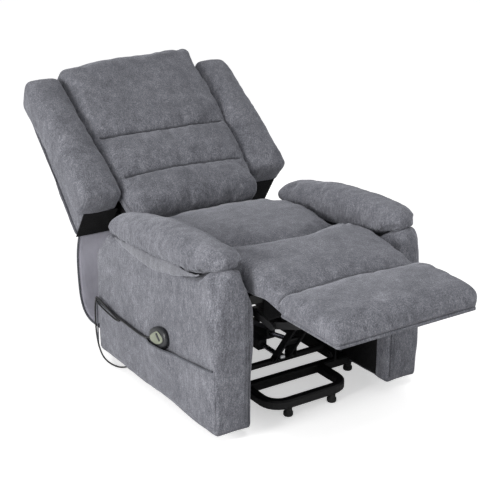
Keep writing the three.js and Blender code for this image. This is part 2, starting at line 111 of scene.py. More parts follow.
def curve(table, at):
    """Monotone cubic through the (place, value) rows of a table."""
    places, values = np.array(table, float).T
    gaps = np.diff(places)
    slopes = np.diff(values) / gaps
    tangents = np.zeros(len(places))
    tangents[0], tangents[-1] = slopes[0], slopes[-1]
    for i in range(1, len(places) - 1):
        if slopes[i - 1] * slopes[i] > 0:
            before, after = 2 * gaps[i] + gaps[i - 1], gaps[i] + 2 * gaps[i - 1]
            tangents[i] = (before + after) / (before / slopes[i - 1] + after / slopes[i])
    at = np.clip(np.asarray(at, float), places[0], places[-1])
    i = np.clip(np.searchsorted(places, at) - 1, 0, len(gaps) - 1)
    t = (at - places[i]) / gaps[i]
    return (
        (2 * t**3 - 3 * t**2 + 1) * values[i]
        + (t**3 - 2 * t**2 + t) * gaps[i] * tangents[i]
        + (-2 * t**3 + 3 * t**2) * values[i + 1]
        + (t**3 - t**2) * gaps[i] * tangents[i + 1]
    )


def waves(points, length, seed):
    """Smooth, repeatable noise of about -1..1 with features of the given length."""
    count = 14
    random = np.random.RandomState(seed)
    total = np.zeros(len(points))
    for _ in range(count):
        direction = random.normal(size=3)
        direction /= np.linalg.norm(direction)
        pace = 2 * math.pi / (length * random.uniform(0.7, 1.5))
        total += np.sin(points @ direction * pace + random.uniform(0, 6.28))
    return total / math.sqrt(count) * 1.1


def soft(points, seed, large, small):
    """Uneven stuffing: two sizes of waves, each as (height, length)."""
    return large[0] * waves(points, large[1], seed) + small[0] * waves(points, small[1], seed + 1)


def pleats(across, pitch, sway, sway_pitch, phase=0):
    """Fine folds in -1..1 whose spacing sways, so that they don't look ruled."""
    return np.sin(across / pitch + sway * np.sin(across / sway_pitch + phase))


# ---------------------------------------------------------------- surfaces
def cube_grid(nx, ny, nz):
    """Surface of a box as quads, in -1..1."""
    ids, faces = {}, []

    def vertex(i, j, k):
        return ids.setdefault((i, j, k), len(ids))

    def add(quad, keep):
        faces.append(quad if keep else quad[::-1])

    for k in (0, nz):
        for i in range(nx):
            for j in range(ny):
                steps = ((i, j), (i + 1, j), (i + 1, j + 1), (i, j + 1))
                add([vertex(a, b, k) for a, b in steps], k)
    for j in (0, ny):
        for i in range(nx):
            for k in range(nz):
                steps = ((i, k), (i + 1, k), (i + 1, k + 1), (i, k + 1))
                add([vertex(a, j, b) for a, b in steps], not j)
    for i in (0, nx):
        for j in range(ny):
            for k in range(nz):
                steps = ((j, k), (j + 1, k), (j + 1, k + 1), (j, k + 1))
                add([vertex(i, a, b) for a, b in steps], i)
    return np.array(list(ids), float) / np.array([nx, ny, nz]) * 2 - 1, faces


def rounded(half, radius, step):
    """A box of the given half sizes, its edges rounded by one radius for each axis."""
    half = np.array(half, float)
    radius = np.minimum(np.array(radius, float), half * 0.999)
    unit, faces = cube_grid(*[max(2, int(round(2 * size / step))) for size in half])
    points = unit * half
    core = np.clip(points, -(half - radius), half - radius)
    away = (points - core) / radius
    length = np.linalg.norm(away, axis=1)
    length[length == 0] = 1
    return core + radius * away / length[:, None], faces


def ring_loft(rings):
    """Closed surface through rings of equal size, closed at both ends."""
    count = len(rings[0])
    points = [p for ring in rings for p in ring]
    faces = []
    for a in range(len(rings) - 1):
        low, high = a * count, (a + 1) * count
        for i in range(count):
            j = (i + 1) % count
            faces.append([low + i, low + j, high + j, high + i])
    for a, first in ((0, True), (len(rings) - 1, False)):
        points.append(np.mean(rings[a], axis=0))
        centre = len(points) - 1
        for i in range(count):
            here, after = a * count + i, a * count + (i + 1) % count
            faces.append([after, here, centre] if first else [here, after, centre])
    return np.array(points, float), faces


def shade_smooth(mesh):
    for polygon in mesh.polygons:
        polygon.use_smooth = True


def make(name, points, faces, material):
    mesh = bpy.data.meshes.new(name)
    mesh.from_pydata(to_scene(points).tolist(), [], [list(map(int, face)) for face in faces])
    mesh.validate()
    mesh.update()
    obj = bpy.data.objects.new(name, mesh)
    bpy.context.scene.collection.objects.link(obj)
    mesh.materials.append(material)
    shade_smooth(mesh)
    return obj


def make_shell(name, points, faces, material):
    """Makes a closed surface and turns every face outward."""
    obj = make(name, points, faces, material)
    edit = bmesh.new()
    edit.from_mesh(obj.data)
    bmesh.ops.recalc_face_normals(edit, faces=edit.faces)
    edit.to_mesh(obj.data)
    edit.free()
    obj.data.update()
    return obj


def get_points(obj):
    flat = np.zeros(len(obj.data.vertices) * 3, np.float32)
    obj.data.vertices.foreach_get("co", flat)
    return to_mm(flat)


def set_points(obj, points):
    obj.data.vertices.foreach_set("co", to_scene(points).astype(np.float32).ravel())
    obj.data.update()


def get_normals(obj):
    flat = np.zeros(len(obj.data.vertices) * 3, np.float32)
    obj.data.vertex_normals.foreach_get("vector", flat)
    return flat.reshape(-1, 3).astype(float)


def with_modifier(obj, kind, **settings):
    """Adds a modifier and bakes it into the mesh."""
    modifier = obj.modifiers.new("m", kind)
    for key, value in settings.items():
        setattr(modifier, key, value)
    graph = bpy.context.evaluated_depsgraph_get()
    graph.update()
    mesh = bpy.data.meshes.new_from_object(obj.evaluated_get(graph))
    obj.modifiers.clear()
    old = obj.data
    obj.data = mesh
    bpy.data.meshes.remove(old)
    shade_smooth(mesh)


def finer(obj, levels=1):
    with_modifier(obj, "SUBSURF", levels=levels, render_levels=levels)


def relax(obj, times):
    with_modifier(obj, "SMOOTH", factor=0.5, iterations=times)


def mark_seam_shade(obj, seam):
    """Keeps the painted shade of the seam grooves, 0..1, as an attribute that the cloth shaders
    darken.
    """
    attribute = obj.data.attributes.new("seam", "FLOAT", "POINT")
    attribute.data.foreach_set("value", np.clip(seam, 0, 1).astype(np.float32))


def sculpt(obj, detail):
    """detail(points, normals) gives the move along each normal and the painted shade of the seams."""
    points, normals = get_points(obj), get_normals(obj)
    move, seam = detail(points, normals)
    set_points(obj, points + normals * np.asarray(move)[:, None])
    mark_seam_shade(obj, seam)


def tube(name, path, radius, material):
    """A round cord along a path of points."""
    sides = 8
    path = np.array(path, float)
    tangents = np.gradient(path, axis=0)
    tangents /= np.linalg.norm(tangents, axis=1)[:, None]
    guide = np.array([0.0, 0, 1]) if abs(tangents[0][2]) < 0.9 else np.array([0.0, 1, 0])
    across = np.cross(tangents[0], guide)
    across /= np.linalg.norm(across)
    turns = np.arange(sides) * 2 * math.pi / sides
    cos, sin = np.cos(turns)[:, None], np.sin(turns)[:, None]
    rings = []
    for point, tangent in zip(path, tangents):
        across = across - tangent * (across @ tangent)
        across /= np.linalg.norm(across)
        rings.append(point + radius * (cos * across + sin * np.cross(tangent, across)))
    return make_shell(name, *ring_loft(rings), material)


def resample(points, step):
    """Even points along a polyline whose corners are cut three times."""
    line = np.array(points, float)
    for _ in range(3):
        cut = [line[0]]
        for a, b in zip(line[:-1], line[1:]):
            cut += [a * 0.75 + b * 0.25, a * 0.25 + b * 0.75]
        cut.append(line[-1])
        line = np.array(cut)
    run = np.r_[0, np.cumsum(np.linalg.norm(np.diff(line, axis=0), axis=1))]
    stops = np.linspace(0, run[-1], max(2, int(run[-1] / step) + 1))
    return np.array([np.interp(stops, run, column) for column in line.T]).T


def dust_sheet(name, corners, thick, columns, rows, ripple, seed):
    """A thin dust cloth between four corners, taken in turn round its edge."""
    a, b, c, d = (np.array(corner, float) for corner in corners)
    unit, faces = cube_grid(columns, rows, 1)
    u, v = (unit[:, 0] + 1) / 2, (unit[:, 1] + 1) / 2
    points = a * ((1 - u) * (1 - v))[:, None] + b * (u * (1 - v))[:, None]
    points = points + d * ((1 - u) * v)[:, None] + c * (u * v)[:, None]
    normal = np.cross(b - a, d - a)
    normal /= np.linalg.norm(normal)
    inside = linear(np.minimum(np.minimum(u, 1 - u), np.minimum(v, 1 - v)), 0, 0.08)
    off = soft(points, seed, (ripple, 120), (ripple * 0.4, 45)) * inside
    points = points + normal * (off + unit[:, 2] * thick / 2)[:, None]
    return make_shell(name, points, faces, DUST)


def mount(obj, body, slot, *cad_parts):
    """Tells the frame what a piece rides on and what it stands in for. The slot argument is not used.
    """
    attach(obj, body)
    if cad_parts:
        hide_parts(*cad_parts)


# ---------------------------------------------------------------- cloth
cushions = []  # waiting to be inflated


def fill(obj, pinned, pressure, limit, grow, bending=0.4):
    """Marks a cushion for inflation: which vertices stay put, and how far the rest may move."""
    cushions.append((obj, limit))
    obj.vertex_groups.new(name="pin").add([int(i) for i in np.nonzero(pinned)[0]], 1.0, "REPLACE")
    modifier = obj.modifiers.new("Cloth", "CLOTH")
    cloth = modifier.settings
    stiffness = 12.0
    cloth.quality = 4
    cloth.mass = 0.25
    cloth.tension_stiffness = cloth.compression_stiffness = stiffness
    cloth.shear_stiffness = stiffness * 0.4
    cloth.bending_stiffness = bending
    cloth.tension_damping = cloth.compression_damping = 12
    cloth.air_damping = 3
    cloth.use_pressure = True
    cloth.uniform_pressure_force = pressure
    cloth.vertex_group_mass = "pin"
    cloth.effector_weights.gravity = 0
    cloth.shrink_min = -grow
    modifier.collision_settings.use_collision = False
    modifier.collision_settings.use_self_collision = False
    cache = modifier.point_cache
    cache.frame_start, cache.frame_end = 1, FILL_FRAMES


FILL_FRAMES = 18


def run_fill():
    """Inflates all marked cushions together, then keeps the result as plain meshes."""
    scene = bpy.context.scene
    scene.frame_start, scene.frame_end = 1, FILL_FRAMES
    for number in range(1, FILL_FRAMES + 1):
        scene.frame_set(number)
    graph = bpy.context.evaluated_depsgraph_get()
    inflated = [get_points(obj.evaluated_get(graph)) for obj, _ in cushions]
    for (obj, limit), full in zip(cushions, inflated):
        rest = get_points(obj)
        obj.modifiers.clear()
        obj.vertex_groups.clear()
        if not np.isfinite(full).all():  # a simulation that blew up leaves the cushion as drawn
            full = rest
        move = full - rest
        length = np.linalg.norm(move, axis=1)
        length[length < 1e-9] = 1e-9
        set_points(obj, rest + move * (limit * np.tanh(length / limit) / length)[:, None])
    scene.frame_set(1)


# ---------------------------------------------------------------- materials
def shade(color, factor, lift=0):
    return tuple(c * factor + lift for c in color)


class Shader:
    """A material with one Principled shader, and short ways to add nodes to it."""

    def __init__(self, name, **inputs):
        self.material = bpy.data.materials.new(name)
        self.material.use_nodes = True
        self.tree = self.material.node_tree
        self.tree.nodes.clear()
        output = self.node("ShaderNodeOutputMaterial")
        self.surface = self.node("ShaderNodeBsdfPrincipled")
        self.put(output.inputs[0], self.surface.outputs[0])
        for key, value in inputs.items():
            self.surface.inputs[key.replace("_", " ")].default_value = value
        self.coords = self.node("ShaderNodeTexCoord").outputs["Object"]

    def node(self, kind, **props):
        node = self.tree.nodes.new(kind)
        for key, value in props.items():
            setattr(node, key, value)
        return node

    def put(self, socket, value):
        """Links a socket or sets its value."""
        if isinstance(value, bpy.types.NodeSocket):
            self.tree.links.new(value, socket)
        else:
            socket.default_value = value

    def put_vector(self, node, stretch):
        if stretch:
            mapping = self.node("ShaderNodeMapping")
            mapping.inputs["Scale"].default_value = stretch
            self.put(mapping.inputs["Vector"], self.coords)
            self.put(node.inputs["Vector"], mapping.outputs[0])
        else:
            self.put(node.inputs["Vector"], self.coords)

    def noise(self, scale, detail, rough=0.5, stretch=None, distort=0.0):
        node = self.node("ShaderNodeTexNoise")
        node.inputs["Scale"].default_value = scale
        node.inputs["Detail"].default_value = detail
        node.inputs["Roughness"].default_value = rough
        node.inputs["Distortion"].default_value = distort
        self.put_vector(node, stretch)
        return node.outputs["Fac"]

    def cells(self, scale, stretch=None):
        node = self.node("ShaderNodeTexVoronoi", feature="F1")
        node.inputs["Scale"].default_value = scale
        self.put_vector(node, stretch)
        return node.outputs["Distance"]

    def threads(self, scale, axis):
        node = self.node("ShaderNodeTexWave", bands_direction=axis)
        node.inputs["Scale"].default_value = scale
        node.inputs["Distortion"].default_value = 0.4
        node.inputs["Detail"].default_value = 1.0
        node.inputs["Detail Scale"].default_value = 2.0
        self.put_vector(node, None)
        return node.outputs["Fac"]

    def math(self, operation, *values, clamp=False):
        node = self.node("ShaderNodeMath", operation=operation, use_clamp=clamp)
        for socket, value in zip(node.inputs, (*values, 0.0)):
            self.put(socket, value)
        return node.outputs[0]

    def spread(self, value, gain):
        """(value - 0.5) * gain"""
        return self.math("MULTIPLY", self.math("SUBTRACT", value, 0.5), gain)

    def ramp(self, fac, stops):
        """Colours by (position, colour)."""
        node = self.node("ShaderNodeValToRGB")
        elements = node.color_ramp.elements
        while len(elements) < len(stops):
            elements.new(0.5)
        for element, (position, color) in zip(elements, stops):
            element.position = position
            element.color = (*color, 1)
        self.put(node.inputs[0], fac)
        return node.outputs[0]

    def mix(self, fac, below, above):
        """Lays the colour above over the socket below."""
        node = self.node("ShaderNodeMix", data_type="RGBA", blend_type="MIX")
        self.put(node.inputs[0], fac)
        self.put(node.inputs[6], below)
        self.put(node.inputs[7], (*above, 1))
        return node.outputs[2]

    # painted shade of the seam grooves, read from the point attribute
    def seam(self):
        return self.node("ShaderNodeAttribute", attribute_name="seam").outputs["Fac"]

    def bump(self, height, strength, distance, below=None):
        node = self.node("ShaderNodeBump")
        node.inputs["Strength"].default_value = strength
        node.inputs["Distance"].default_value = distance
        self.put(node.inputs["Height"], height)
        if below is not None:
            self.put(node.inputs["Normal"], below)
        return node.outputs[0]

    def finish(self, color, rough=None, normal=None):
        self.put(self.surface.inputs["Base Color"], color)
        if rough is not None:
            self.put(self.surface.inputs["Roughness"], rough)
        if normal is not None:
            self.put(self.surface.inputs["Normal"], normal)
        return self.material


def chenille(name, dark, light, blotch=1.0, fleck=1.0, sheen=0.35):
    """Short-pile chenille: blotches where the pile lies differently, flecked yarns, a sheen."""
    s = Shader(
        name, Roughness=0.95, Sheen_Weight=sheen, Sheen_Roughness=0.45,
        Sheen_Tint=(0.85, 0.87, 0.95, 1), Specular_IOR_Level=0.12,
    )
    large = s.noise(scale=8, detail=3, rough=0.55, distort=0.6)
    medium = s.noise(scale=38, detail=4, rough=0.62, stretch=(1.0, 1.0, 0.6), distort=0.4)
    streak = s.noise(scale=120, detail=3, rough=0.65, stretch=(1.7, 1.7, 0.4))
    fine = s.noise(scale=260, detail=4, rough=0.75, stretch=(1.3, 1.3, 0.7))
    yarn = s.cells(scale=430, stretch=(1.35, 1.35, 0.7))
    # how much each pattern swings the colour
    value = s.spread(large, gain=0.55 * blotch)
    gains = ((medium, 0.8 * blotch), (streak, 1.0 * fleck), (fine, 1.9 * fleck), (yarn, -0.6 * fleck))
    for pattern, gain in gains:
        value = s.math("ADD", value, s.spread(pattern, gain))
    value = s.math("ADD", value, 0.44, clamp=True)
    middle = tuple((a * b) ** 0.5 for a, b in zip(dark, light))
    color = s.ramp(value, [(0.0, dark), (0.5, middle), (1.0, light)])
    # painted shade: seams and grooves darkened toward a third of the darkest colour
    color = s.mix(s.seam(), color, shade(dark, 0.3))
    pile = s.math("ADD", s.math("MULTIPLY", fine, 1.0), s.math("MULTIPLY", yarn, 0.7))
    normal = s.bump(medium, strength=0.25, distance=0.004)
    normal = s.bump(streak, strength=0.3, distance=0.0015, below=normal)
    normal = s.bump(pile, strength=0.55, distance=0.0012, below=normal)
    return s.finish(color, s.math("ADD", 0.88, s.spread(medium, gain=0.2)), normal)


def plain_cloth(name, dark, light, scale, sheen=0.1):
    """A flat woven lining: fine over-and-under weave with slubs and soft wrinkles."""
    s = Shader(name, Roughness=0.9, Sheen_Weight=sheen, Specular_IOR_Level=0.08)
    warp, weft = s.threads(scale, "X"), s.threads(scale, "Z")
    weave = s.math("MULTIPLY", warp, weft)
    cloud = s.noise(scale=14, detail=3)
    slub = s.noise(scale=140, detail=3, rough=0.6, stretch=(1, 1, 0.2))
    uneven = s.math("ADD", s.spread(cloud, gain=0.8), s.spread(slub, gain=0.7))
    woven = s.math("ADD", s.spread(weave, gain=0.4), 0.5)
    color = s.ramp(s.math("ADD", uneven, woven, clamp=True), [(0, dark), (1, light)])
    # painted shade: seams darkened toward 0.4 of the darkest colour
    color = s.mix(s.seam(), color, shade(dark, 0.4))
    wrinkle = s.bump(s.noise(scale=24, detail=3), strength=0.5, distance=0.004)
    return s.finish(color, None, s.bump(weave, strength=0.4, distance=0.0006, below=wrinkle))


def painted_steel(name, base, rough=0.42, wear=0.35, metal=0.0):
    """Satin powder coat: orange-peel bump, dust in the blotches, rubbed edges."""
    s = Shader(name, Roughness=rough, Metallic=metal, Specular_IOR_Level=0.28)
    edge = s.node("ShaderNodeBevel", samples=4)
    edge.inputs["Radius"].default_value = 0.0025
    geometry = s.node("ShaderNodeNewGeometry")
    dot = s.node("ShaderNodeVectorMath", operation="DOT_PRODUCT")
    s.put(dot.inputs[0], edge.outputs[0])
    s.put(dot.inputs[1], geometry.outputs["Normal"])
    # where the bevelled normal turns away from the true one, the paint is rubbed
    rub = s.math("MULTIPLY", s.math("SUBTRACT", 1.0, dot.outputs["Value"]), 3.0, clamp=True)
    patches = s.math("MULTIPLY", s.noise(scale=60, detail=4, rough=0.7), wear)
    rub = s.math("MULTIPLY", rub, patches, clamp=True)
    dust = s.noise(scale=22, detail=4, rough=0.6)
    color = s.ramp(dust, [(0.3, shade(base, 0.75)), (0.75, shade(base, 1.45, lift=0.002))])
    color = s.mix(rub, color, shade(base, 3, lift=0.05))
    smears = s.math("MULTIPLY", s.noise(scale=35, detail=4, rough=0.6), 0.2)
    roughness = s.math("ADD", rough - 0.05, smears)
    peel = s.bump(s.noise(scale=650, detail=2), strength=0.12, distance=0.0005)
    return s.finish(color, roughness, peel)


def bare_metal(name, base, rough=0.25):
    """Polished metal with faint drawn lines."""
    s = Shader(name, Roughness=rough, Metallic=1.0)
    lines = s.noise(scale=300, detail=3, rough=0.6, stretch=(1, 0.05, 1))
    color = s.ramp(lines, [(0.2, shade(base, 0.7)), (0.8, base)])
    roughness = s.math("ADD", rough, s.spread(s.noise(scale=80, detail=3), gain=0.25))
    return s.finish(color, roughness, s.bump(lines, strength=0.1, distance=0.0004))


def moulded(name, base, rough, grain, spread=0.3):
    """Moulded plastic with a fine spark-eroded grain."""
    s = Shader(name, Roughness=rough, Specular_IOR_Level=0.45)
    cloud = s.noise(scale=30, detail=3)
    color = s.ramp(cloud, [(0.25, shade(base, 1 - spread)), (0.8, shade(base, 1 + spread))])
    roughness = s.math("ADD", rough, s.spread(cloud, gain=0.18))
    return s.finish(color, roughness, s.bump(s.cells(grain), strength=0.25, distance=0.0004))


FAB = chenille("chenille_grey", dark=(0.062, 0.0635, 0.074), light=(0.262, 0.264, 0.292))
FAB_BAND = chenille(
    "chenille_band", dark=(0.082, 0.084, 0.094), light=(0.262, 0.264, 0.288),
    blotch=0.6, fleck=0.8, sheen=0.5,
)
# piping cords: a much darker copy of the chenille, painted shade for cords that sit in seam grooves
SHADED_PIPING = chenille(
    "chenille_piping_shaded", dark=(0.045, 0.047, 0.055), light=(0.10, 0.104, 0.118), blotch=0.5
)
DUST = plain_cloth(
    "dust_cloth_black", dark=(0.0045, 0.0045, 0.005), light=(0.0105, 0.0105, 0.0115),
    scale=700, sheen=0.03,
)
LINING = plain_cloth(
    "flap_lining_grey", dark=(0.30, 0.295, 0.345), light=(0.42, 0.415, 0.475),
    scale=900, sheen=0.2,
)
STEEL = painted_steel("satin_black_steel", base=(0.0055, 0.0055, 0.006))
SPRING = painted_steel("spring_steel", base=(0.03, 0.03, 0.033), rough=0.4, wear=0.3, metal=0.7)
ROD = bare_metal("polished_rod", base=(0.55, 0.56, 0.58))
RUBBER = moulded("foot_rubber", base=(0.012, 0.012, 0.012), rough=0.75, grain=500)
PLASTIC = moulded("motor_plastic", base=(0.016, 0.017, 0.019), rough=0.45, grain=900)
HAND = moulded("handset_plastic", base=(0.014, 0.015, 0.017), rough=0.38, grain=1400)
FACE = moulded("handset_face", base=(0.175, 0.19, 0.14), rough=0.42, grain=1400, spread=0.15)
BUTTON = moulded("button_plastic", base=(0.020, 0.021, 0.024), rough=0.5, grain=1600)
CABLE = moulded("cable_jacket", base=(0.010, 0.010, 0.011), rough=0.45, grain=1200)
# a spare in the palette, on no piece so far: a dark cord colour, painted shade for seam grooves
plain_cloth("groove_shade_cord", dark=(0.05, 0.052, 0.06), light=(0.11, 0.115, 0.13), scale=2500)

# ---------------------------------------------------------------- seat
# heights of the top along its middle, as (y, z)
SEAT_TOP = [(-132, 498), (-122, 500), (-60, 511), (31, 516), (110, 511), (187, 500), (246, 488)]
FRONT_TOP = [
    (-508, 486), (-480, 498), (-440, 510), (-358, 524), (-300, 531), (-254, 531),
    (-190, 520), (-150, 508), (-122, 499),
]
LEG_TOP = [
    (-778, 470), (-764, 486), (-729, 498), (-634, 506), (-570, 503), (-535, 496), (-511, 484),
]
SEAT_SPAN = 250  # half width over which the crown and the seams bend
SEAT_REAR, SEAT_SPLIT, LEG_END = 246, -128, -779  # y of the ends and of the sewn line
FRONT_HALF = 251
FRONT_RADII = (22, 18, 22)
PAD_HALF = 40  # half height of the box a seat pad is drawn from


def seat_seam_y(x):  # sewn line between the rear and the front of the seat
    return -196 + 66 * np.abs(x / SEAT_SPAN) ** 1.7


def leg_seam_y(x):  # sewn line between seat and leg rest
    return -500 - 12 * np.abs(x / SEAT_SPAN) ** 2


def seat_crown(x, height):
    return height * (1 - (x / SEAT_SPAN) ** 2) - 5 * np.abs(x / SEAT_SPAN) ** 6


def seat_pad(half, y_front, y_rear, bottom, top, radii):
    """A flat-bottomed pad under top(x, y), with each vertex's level from 0 to 1."""
    points, faces = rounded((half, (y_rear - y_front) / 2, PAD_HALF), radii, step=9)
    points[:, 1] += (y_front + y_rear) / 2
    level = (points[:, 2] + PAD_HALF) / (2 * PAD_HALF)
    points[:, 2] = bottom + level * (top(points[:, 0], points[:, 1]) - bottom)
    return points, faces, level


def build_seat_rear():
    def top(x, y):
        return curve(SEAT_TOP, y) + seat_crown(x, 7)

    points, faces, level = seat_pad(252, SEAT_SPLIT, SEAT_REAR, 446, top, (34, 26, 28))
    # the front edge bends along the seam
    pull = linear(points[:, 1], SEAT_REAR, SEAT_SPLIT - SEAT_REAR) ** 2
    points[:, 1] += pull * (seat_seam_y(points[:, 0]) - SEAT_SPLIT)
    rear = make("seat_rear", points, faces, FAB)
    fill(rear, level < 0.3, pressure=4.5, limit=7, grow=0.03)
    return rear


def build_seat_front():
    """Front part of the seat, carried on over the knee to the end of the leg rest."""

    def top(x, y):
        line = leg_seam_y(x)
        on_seat = ease(y, line - 3, 6)
        crown = seat_crown(x, 8)
        valley = -5 * bell(np.abs(y - line), 16, 1.3)
        height = curve(FRONT_TOP, y) * on_seat + curve(LEG_TOP, y) * (1 - on_seat)
        return height + crown * (0.45 + 0.55 * ease(y, -520, 60)) + valley

    points, faces, level = seat_pad(FRONT_HALF, LEG_END, SEAT_SPLIT, 439, top, FRONT_RADII)
    low = 1 - level
    # the underside rises over the knee
    points[:, 2] += low * 10 * bell(points[:, 1] + 440, 45)
    pull = ease(points[:, 1], -330, 200)
    points[:, 1] += pull * (seat_seam_y(points[:, 0]) - SEAT_SPLIT)
    # the lower edge of the leg rest is square, and its front slopes back a little
    square = 0.85
    on_leg = ease(points[:, 1], -505, -20)
    corner = FRONT_RADII[2] / (2 * PAD_HALF)
    cut = 1 - np.sqrt(np.clip(1 - np.clip(1 - level / corner, 0, 1) ** 2, 0, 1))
    widen = FRONT_HALF / (FRONT_HALF - FRONT_RADII[0] * cut) - 1
    points[:, 0] *= 1 + square * on_leg * widen
    points[:, 1] -= square * FRONT_RADII[1] * cut * ease(points[:, 1], -700, -60)
    points[:, 1] += linear(points[:, 1], -740, -39) * low * 7
    front = make("seat_front_and_leg_rest", points, faces, FAB)
    x, y = points[:, 0], points[:, 1]
    sewn = (np.abs(y - leg_seam_y(x)) < 7) & (np.abs(x) < 236) & (level > 0.9)
    fill(front, (level < 0.3) | sewn, pressure=4.5, limit=6, grow=0.03)
    return front


def detail_seat_rear(points, normals):
    x, y, _ = points.T
    top = ease(normals[:, 2], -0.1, 0.5)
    move = top * soft(points, 3, large=(1.2, 150), small=(0.6, 45))
    # pulls running back from the front seam, strongest near the sides
    pulls = top * 1.5 * pleats(x, pitch=5.2, sway=1.5, sway_pitch=23)
    near_sides = 0.35 + 0.65 * np.abs(x / SEAT_SPAN) ** 2
    move += pulls * decay(y - seat_seam_y(x), 24) * near_sides
    # a second sewn line by the arms
    off = np.abs(np.abs(x) - (226 - 0.02 * (y - SEAT_SPLIT)))
    line = top * ease(y, 40, -90)
    move -= line * 2.6 * bell(off, 4)
    # the second value is painted shade along the sewn line
    return move, line * 0.7 * bell(off, 3)


def detail_seat_front(points, normals):
    x, y, z = points.T
    top = ease(normals[:, 2], -0.2, 0.5)
    move = top * soft(points, 7, large=(1.3, 170), small=(0.6, 50))
    # knee seam, with small pulls across it
    off = np.abs(y - leg_seam_y(x))
    move -= top * 4.5 * bell(off, 4.0, 1.5)
    # painted shade along the knee seam
    seam = top * 0.85 * bell(off, 3.0)
    move += top * 0.6 * pleats(x, pitch=3.6, sway=2, sway_pitch=31) * decay(off, 14)
    # gathers beside the arms where the front section starts
    near = bell(np.abs(x) - 235, 42) * bell(y + 235, 85)
    angle = np.arctan2(y + 150, 262 - np.abs(x))
    move += top * 2.4 * near * np.sin(angle * 21 + 1.2 * np.sin(angle * 7))
    # diagonal crease toward the left front corner of the leg rest
    crease = (x - 0.62 * (y + 640) - 176) / 1.18
    move -= top * 1.6 * bell(crease, 5) * ease(y, -600, -40) * ease(y, -740, 40)
    # sewn edge along the lower border: sunk, with painted shade in it
    upright = 1 - np.clip(np.abs(normals[:, 2]) * 1.6, 0, 1)
    border = bell(z - 443, 2.0) * upright * 0.5
    move -= 1.8 * border
    return move, np.maximum(seam, 0.75 * border)


# ---------------------------------------------------------------- back
# sewn lines across the cushion: height up the back, half length, bow
BACK_SEAMS = ((0.0, 236.0, 6.0), (179.0, 252.0, -7.0))
BACK_HALF = 275
# half width up the cushion, as (up, half width)
BACK_WIDTHS = [(-160, 238), (-60, 245), (0, 252), (90, 259), (182, 265), (313, 273), (530, 275)]


def back_seam(line, x):
    height, half, bow = line
    return height + bow * (1 - (x / half) ** 2)


def build_back():
    points, faces = rounded((BACK_HALF, 333, 52), (26, 50, 30), step=9)
    x, up, out = points[:, 0], points[:, 1] + 183, points[:, 2] - 45
    level = linear(out, -98, 100)
    # the foot of the cushion is narrower, so that it passes between the arms
    width = curve(BACK_WIDTHS, up)
    x = x * width / BACK_HALF
    crown = 3 + 13 * (1 - np.abs(x / width) ** 2.6) + 6 * np.sin(linear(up, 179, 345) * math.pi)
    # the top edge is arched
    upper = ease(up, 250, 250)
    up = up + upper * (30 * (1 - (x / width) ** 2) - 6)
    # it sits higher and squarer at the left-hand end
    square = ease(up, 400, 90)
    up = up + upper * 33 * ease(x, 30, 200) + square * 5 * ease(x, 222, 36)
    x = x + square * 5 * ease(x, 190, 60)
    dip = np.zeros(len(x))
    sewn = np.zeros(len(x), bool)
    for line in BACK_SEAMS:
        half = line[1]
        off = np.abs(up - back_seam(line, np.clip(x, -half, half)))
        dip += 15 * bell(off, 26, 1.25) * (0.18 + 0.82 * ease(np.abs(x), half + 16, -42))
        sewn |= (np.abs(up - back_seam(line, x)) < 7) & (np.abs(x) < half)
    roll = 16 * ease(up, -95, -60)  # the foot rolls under
    out = out + level * (crown - dip - roll)
    back = make_shell("back_cushion_cover", from_back(np.c_[x, up, out]), faces, FAB)
    fill(back, (level < 0.35) | sewn, pressure=4.5, limit=9, grow=0.035)
    return back


def detail_back(points, normals):
    drawn = to_back(points)
    x, up, out = drawn.T
    face = ease(normals @ OUT, -0.1, 0.6)
    move = face * soft(drawn, 11, large=(1.3, 180), small=(0.7, 55))
    seam = np.zeros(len(x))
    for i, line in enumerate(BACK_SEAMS):
        half = line[1]
        off = np.abs(up - back_seam(line, x))
        inside = ease(np.abs(x), half + 2, -12)
        move -= face * inside * 7.5 * bell(off, 4.5, 1.5)
        # painted shade along each sewn line
        seam = np.maximum(seam, face * inside * bell(off, 3.4))
        pulls = pleats(x, pitch=4.9, sway=2, sway_pitch=37, phase=i)
        move += face * inside * 0.8 * pulls * decay(off, 15)
        # the stitched line ends in a small pull
        end = np.hypot((np.abs(x) - half) / 20, (up - back_seam(line, x)) / 7)
        move -= face * 1.7 * bell(end, 1)
    # crease running in from the upper corner, more on the right-hand side
    for sign, depth in ((-1, 2.6), (1, 1.2)):
        crease = ((up - 505) + (sign * x - 262) * 0.45) / 1.1
        span = ease(sign * x, 190, 40) * ease(sign * x, 272, -20)
        move -= face * depth * bell(crease, 6) * span
    # boxing seam round the edge: sunk, with painted shade in it
    rim = bell(out + 42, 2.8) * (1 - face)
    return move - 1.8 * rim, np.maximum(seam, 0.7 * rim)


# ---------------------------------------------------------------- wings
WING_X, WING_HALF = 342, 64  # middle and half width of the pillow
WING_EDGE = WING_X + WING_HALF
BOXING_FRONT = -104  # where the boxing starts, behind the face plane


def wing_rear(up):  # depth of the back's rear line below its face plane
    return -203.0 + (up + 61) * (203 - 108) / 557


